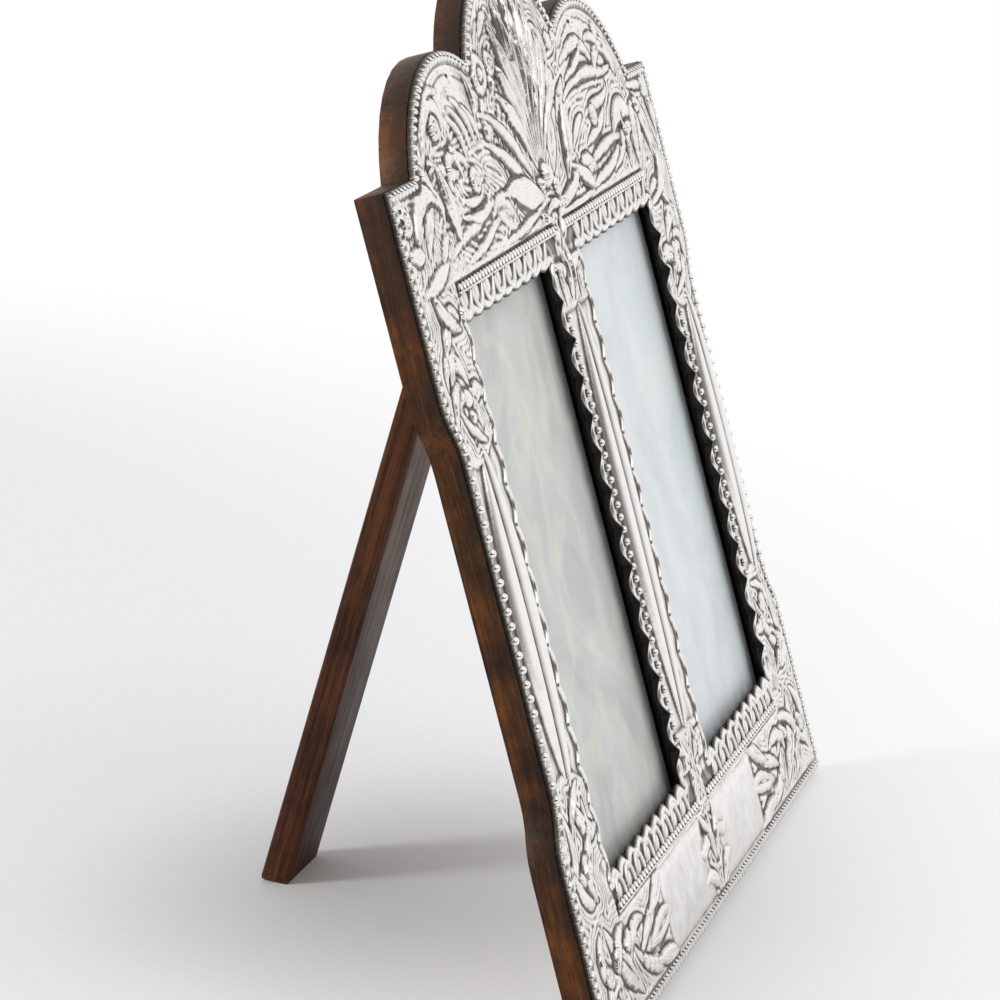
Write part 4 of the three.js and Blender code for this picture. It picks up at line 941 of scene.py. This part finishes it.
# Dark hardwood: oiled and handled for long, brown where it is worn and black beside the silver
def addWood(name, turn, shift, wood):
    # pattern coordinates lie along the piece: x across it, y along the grain and z through its thickness
    material, tree, shader = newMaterial(name)
    place = addNode(tree, "ShaderNodeTexCoord").outputs["Object"]
    flat = addNode(tree, "ShaderNodeMapping", {"Vector": place, "Rotation": (turn, 0, 0), "Location": shift})
    # patches, pores and fibres, each with its width, length, detail, roughness and share
    figure = -0.25
    for width, length, detail, coarse, share in ((22, 22, 6.0, 0.6, wood["patches"]), (0.7, 9, 3.0, 0.5, 0.3),
                                                 (*wood["grain"], 7.0, 0.66, wood["fibres"])):
        laid = addNode(tree, "ShaderNodeMapping",
                       {"Vector": flat, "Scale": (perSize(width), perSize(length), perSize(width))})
        pattern = addNode(tree, "ShaderNodeTexNoise",
                          {"Vector": laid, "Scale": 1.0, "Detail": detail, "Roughness": coarse})
        figure = addNode(tree, "ShaderNodeMath", {0: pattern, 1: share, 2: figure}, operation="MULTIPLY_ADD")
    colour = setRamp(addNode(tree, "ShaderNodeValToRGB", {0: figure}), wood["tones"])
    rough = addNode(tree, "ShaderNodeMapRange",
                    {"Value": figure, "From Min": 0.3, "From Max": 0.8, "To Min": 0.62, "To Max": 0.42})
    relief = addNode(tree, "ShaderNodeBump", {"Height": figure, "Strength": 0.45, "Distance": 0.0004})
    feed(shader, {"Base Color": colour, "Roughness": rough, "Normal": relief, "Specular IOR Level": 0.18})
    return material, tree, shader, flat, figure, colour


faceShift = (0, -faceOffset / 1000 * math.sin(lean), faceOffset / 1000 * math.cos(lean))
oiled = {"tones": [(0.34, "#190e06"), (0.47, "#2a1709"), (0.58, "#41240a"), (0.71, "#62360e")],
         "grain": (1.8, 90), "patches": 0.89, "fibres": 0.46, "mottle": 9, "soot": "#261c17", "wallBlack": "#060505",
         "halfWall": 0.0585, "wallMiddle": 0.1355, "wallReach": 0.0965, "wallStart": 0.0008}
boardWood, tree, shader, flat, figure, colour = addWood("darkOiledHardwood", lean - math.pi / 2, faceShift, oiled)
across = addNode(tree, "ShaderNodeSeparateXYZ", {0: flat}).outputs
mottle = addNode(tree, "ShaderNodeTexNoise",
                 {"Vector": flat, "Scale": perSize(oiled["mottle"]), "Detail": 6.0, "Roughness": 0.7})
# soot and polish have gathered on the side by the silver, and high up on the crest
deep = addNode(tree, "ShaderNodeMapRange",
               {"Value": across["Z"], "From Min": 0.001, "From Max": 0.0095, "To Min": -0.2, "To Max": 0.42})
high = addNode(tree, "ShaderNodeMapRange",
               {"Value": across["Y"], "From Min": 0.19, "From Max": 0.27, "To Min": -0.05, "To Max": 0.3})
gathered = addNode(tree, "ShaderNodeMath", {0: deep, 1: high}, operation="ADD")
broken = addNode(tree, "ShaderNodeMath", {0: mottle, 1: 1.3, 2: gathered}, operation="MULTIPLY_ADD")
soot = addNode(tree, "ShaderNodeMapRange", {"Value": broken, "From Min": 0.66, "From Max": 1.15, "To Max": 0.68},
               interpolation_type="SMOOTHSTEP")
sooty = addNode(tree, "ShaderNodeMix", {0: soot, 6: colour, 7: hexColour(oiled["soot"])}, data_type="RGBA")
# the walls of the windows are near black
side = addNode(tree, "ShaderNodeMath", {0: across["X"]}, operation="ABSOLUTE")
inX = addNode(tree, "ShaderNodeMath", {0: side, 1: windowCentre / 1000, 2: oiled["halfWall"]}, operation="COMPARE")
inY = addNode(tree, "ShaderNodeMath", {0: across["Y"], 1: oiled["wallMiddle"], 2: oiled["wallReach"]},
              operation="COMPARE")
inZ = addNode(tree, "ShaderNodeMath", {0: across["Z"], 1: oiled["wallStart"]}, operation="GREATER_THAN")
both = addNode(tree, "ShaderNodeMath", {0: inX, 1: inY}, operation="MULTIPLY")
walls = addNode(tree, "ShaderNodeMath", {0: both, 1: inZ}, operation="MULTIPLY")
darkWalled = addNode(tree, "ShaderNodeMix", {0: walls, 6: sooty.outputs[2], 7: hexColour(oiled["wallBlack"])},
                  data_type="RGBA")
feed(shader, {"Base Color": darkWalled.outputs[2]})

# The strut is the same wood, unfinished on its front face, which has gone grey and shows its long grain; that face is
# also painted lighter, standing in for the light thrown up from the white floor, and it turns greyer further from the
# foot
worn = {"tones": [(0.36, "#1a0d07"), (0.47, "#2e170b"), (0.57, "#41220f"), (0.7, "#5a3115")],
        "grain": (1.7, 80), "patches": 0.5, "fibres": 0.85,
        "litGrey": [(0.34, "#5a5252"), (0.46, "#8a8180"), (0.58, "#a69e9c"), (0.7, "#bbb3b0")]}
strutForward = (0, -math.cos(strutLean), -math.sin(strutLean))
strutTurn = -math.pi / 2 - strutLean
strutWood, tree, shader, flat, figure, colour = addWood("wornAndLitStrutHardwood", strutTurn, (0, 0, 0), worn)
normal = addNode(tree, "ShaderNodeTexCoord").outputs["Normal"]
front = addNode(tree, "ShaderNodeVectorMath", {0: normal, 1: strutForward}, operation="DOT_PRODUCT")
length = addNode(tree, "ShaderNodeSeparateXYZ", {0: flat}).outputs["Y"]
fading = addNode(tree, "ShaderNodeMapRange", {"Value": length, "From Min": 0.02, "From Max": 0.22, "To Max": 0.95})
# painted light: the face turned to the board takes the light grey, worn wood with the floor's bounced light painted
# in
greyShare = addNode(tree, "ShaderNodeMapRange",
                    {"Value": front.outputs["Value"], "From Min": 0.5, "From Max": 0.9, "To Max": fading})
litGrey = setRamp(addNode(tree, "ShaderNodeValToRGB", {0: figure}), worn["litGrey"])
agedAndLit = addNode(tree, "ShaderNodeMix", {0: greyShare, 6: colour, 7: litGrey}, data_type="RGBA")
feed(shader, {"Base Color": agedAndLit.outputs[2]})

# Thin cedar panels close the back, paler and plain sawn
sawn = {"tones": [(0.36, "#5b3d26"), (0.48, "#7d5837"), (0.6, "#94704a"), (0.72, "#a8855c")],
        "grain": (3.0, 60), "patches": 0.5, "fibres": 0.85}
panelWood = addWood("sawnCedarPanel", lean - math.pi / 2, faceShift, sawn)[0]

# Aged brass: dull yellow with brown tarnish in patches, smooth where fingers touch it
agedBrass, tree, shader = newMaterial("agedBrass")
place = addNode(tree, "ShaderNodeTexCoord").outputs["Object"]
stain = addNode(tree, "ShaderNodeTexNoise",
                {"Vector": place, "Scale": perSize(3.5), "Detail": 6.0, "Roughness": 0.65})
tone = setRamp(addNode(tree, "ShaderNodeValToRGB", {0: stain}),
               [(0.3, "#5f4623"), (0.45, "#96743a"), (0.6, "#b8924c"), (0.75, "#cba862")])
dull = addNode(tree, "ShaderNodeMapRange",
               {"Value": stain, "From Min": 0.3, "From Max": 0.7, "To Min": 0.55, "To Max": 0.24})
scratch = addNode(tree, "ShaderNodeBump", {"Height": stain, "Strength": 0.3, "Distance": 0.0001})
feed(shader, {"Base Color": tone, "Metallic": 1, "Roughness": dull, "Normal": scratch})

# Thin clear glass, coated against reflections: the eye sees the card behind, and a gloss only at a very flat angle
clearGlass, tree, shader = newMaterial("clearPictureGlass")
place = addNode(tree, "ShaderNodeTexCoord").outputs["Object"]
swell = addNode(tree, "ShaderNodeTexNoise", {"Vector": place, "Scale": perSize(45), "Detail": 1.0})
tint = setRamp(addNode(tree, "ShaderNodeValToRGB", {0: swell}), [(0.2, "#f2f7f5"), (0.8, "#fafdfc")])
ripple = addNode(tree, "ShaderNodeBump", {"Height": swell, "Strength": 0.12, "Distance": 0.001})
feed(shader, {"Base Color": tint, "Roughness": 0.06, "IOR": 1.5, "Specular IOR Level": 0.15,
              "Transmission Weight": 1, "Normal": ripple})
ray = addNode(tree, "ShaderNodeLightPath").outputs
clear = addNode(tree, "ShaderNodeBsdfTransparent")
passing = addNode(tree, "ShaderNodeMath", {0: ray["Is Shadow Ray"], 1: ray["Is Diffuse Ray"]}, operation="MAXIMUM")
slant = addNode(tree, "ShaderNodeLayerWeight", {"Blend": 0.5}).outputs["Facing"]
bare = addNode(tree, "ShaderNodeMapRange",
               {"Value": slant, "From Min": 0.82, "From Max": 0.98, "To Min": 1.0, "To Max": 0.45})
coated = addNode(tree, "ShaderNodeMath", {0: passing, 1: bare}, operation="MAXIMUM")
mixed = addNode(tree, "ShaderNodeMixShader", {0: coated, 1: shader, 2: clear})
feed(tree.nodes["Material Output"], {"Surface": mixed})


# Pearly card: coated paper with a soft marbled lustre, grey on the left and bluer on the right
def addPearl(name, stops, glow):
    material, tree, shader = newMaterial(name)
    place = addNode(tree, "ShaderNodeTexCoord").outputs["Object"]
    laid = addNode(tree, "ShaderNodeMapping", {"Vector": place, "Rotation": (lean - math.pi / 2, 0, 0)})
    bent = addNode(tree, "ShaderNodeMapping", {"Vector": laid, "Rotation": (0, 0, math.radians(-24)),
                                               "Scale": (perSize(42), perSize(60), perSize(42))})
    cloud = addNode(tree, "ShaderNodeTexNoise",
                    {"Vector": bent, "Scale": 1.0, "Detail": 5.0, "Roughness": 0.6, "Distortion": 1.4})
    tone = setRamp(addNode(tree, "ShaderNodeValToRGB", {0: cloud}), stops)
    wisp = addNode(tree, "ShaderNodeTexNoise", {"Vector": bent, "Scale": 1.5, "Detail": 2.0, "Distortion": 1.8})
    thread = addNode(tree, "ShaderNodeMapRange", {"Value": wisp, "From Min": 0.5, "From Max": 0.72, "To Max": 0.45},
                     interpolation_type="SMOOTHSTEP")
    lit = addNode(tree, "ShaderNodeMix", {0: thread, 6: tone, 7: hexColour(glow)}, data_type="RGBA")
    coat = addNode(tree, "ShaderNodeBump", {"Height": cloud, "Strength": 0.2, "Distance": 0.0004})
    feed(shader, {"Base Color": lit.outputs[2], "Roughness": 0.42, "Sheen Weight": 0.15, "Normal": coat})
    return material


greyPearl = addPearl("greyPearlCard", [(0.32, "#bfc1c0"), (0.5, "#d0d2d0"), (0.68, "#dfe2df")], "#e9edd2")
bluePearl = addPearl("bluePearlCard", [(0.32, "#e2e6e8"), (0.5, "#edf4f6"), (0.68, "#f6f8f8")], "#e0f2f2")
print("woods, brass, glass and card mixed")


# The CAD solids of wood and brass, with their edges eased and slots cut in the screws
def addCarrier(name, node, flatter):
    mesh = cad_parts[node].data.copy()
    work = bmesh.new()
    work.from_mesh(mesh)
    bmesh.ops.remove_doubles(work, verts=work.verts, dist=2e-6)
    if flatter:
        bmesh.ops.dissolve_limit(work, angle_limit=math.radians(1), verts=work.verts, edges=work.edges)
    work.to_mesh(mesh)
    work.free()
    return addObject(name + "Raw", mesh)


def finishCarrier(name, carrier, sharp, body, node, material):
    made = converted(name, carrier)
    made.shade_smooth()
    made.set_sharp_from_angle(angle=math.radians(sharp))
    finishPiece(name, made, body, node, material)


def softened(name, node, bevel, material, body):
    # edges eased as sanding and handling leave them
    carrier = addCarrier(name, node, True)
    ease = carrier.modifiers.new("ease", "BEVEL")
    ease.width = bevel / 1000
    ease.segments = 2
    ease.limit_method = "ANGLE"
    ease.angle_limit = math.radians(38)
    finishCarrier(name, carrier, 35, body, node, material)


def slotted(name, node, axis, turn, depth, body):
    # a screw with the driver's slot cut across its head
    carrier = addCarrier(name, node, False)
    axis = Vector(axis).normalized()
    points = [v.co for v in carrier.data.vertices]
    middle = sum((p for p in points), Vector()) / len(points)
    head = middle + axis * (max(p.dot(axis) for p in points) - middle.dot(axis))
    cutterMesh = bpy.data.meshes.new("slotCutter")
    work = bmesh.new()
    bmesh.ops.create_cube(work, size=1, matrix=Matrix.Diagonal((0.009, 0.0008, depth / 500, 1)))
    work.to_mesh(cutterMesh)
    work.free()
    turned = axis.to_track_quat("Z", "Y").to_matrix().to_4x4()
    cutterMesh.transform(Matrix.Translation(head) @ turned @ Matrix.Rotation(turn, 4, "Z"))
    cutter = addObject("slotCutter", cutterMesh)
    cut = carrier.modifiers.new("slot", "BOOLEAN")
    cut.operation = "DIFFERENCE"
    cut.object = cutter
    cut.solver = "EXACT"
    finishCarrier(name, carrier, 40, body, node, agedBrass)
    bpy.data.objects.remove(cutter)


softened("boardWood", "wood_board", 0.7, boardWood, "frame")
softened("strutLeg", "strut", 0.5, strutWood, "strut_leg")
for side in ("left", "right"):
    softened(side + "BackPanel", side + "_back_panel", 0.4, panelWood, "frame")
backward = (0, math.cos(lean), -math.sin(lean))
for i, place in enumerate(("left_top", "left_bottom", "right_top", "right_bottom")):
    node = "turn_button_" + place
    name = node.replace("_", "-")
    softened(name, node, 0.25, agedBrass, node + "_body")
    slotted(name + "-screw", node + "_screw", backward, 0.6 + 1.1 * i, 0.7, "frame")
softened("hingeBoardLeaf", "hinge_board_leaf", 0.12, agedBrass, "frame")
softened("hingeStrutLeaf", "hinge_strut_leaf", 0.12, agedBrass, "strut_leg")
for i in range(1, 4):
    slotted(f"hingeBoardScrew{i}", f"hinge_board_screw_{i}", backward, 0.3 + 0.9 * i, 0.4, "frame")
    slotted(f"hingeStrutScrew{i}", f"hinge_strut_screw_{i}", strutForward, 0.5 + 0.8 * i, 0.4, "strut_leg")
print("board, strut, panels and hardware made")

# CAD nodes that keep their shape and take a real finish
finishes = {"left_glass": clearGlass, "right_glass": clearGlass, "left_insert": greyPearl, "right_insert": bluePearl,
            "hinge_pin": agedBrass}
finishes.update({f"silver_pin_{i}": repousseSilver for i in range(1, 11)})
for node, material in finishes.items():
    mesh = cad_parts[node].data
    mesh.materials.clear()
    mesh.materials.append(material)
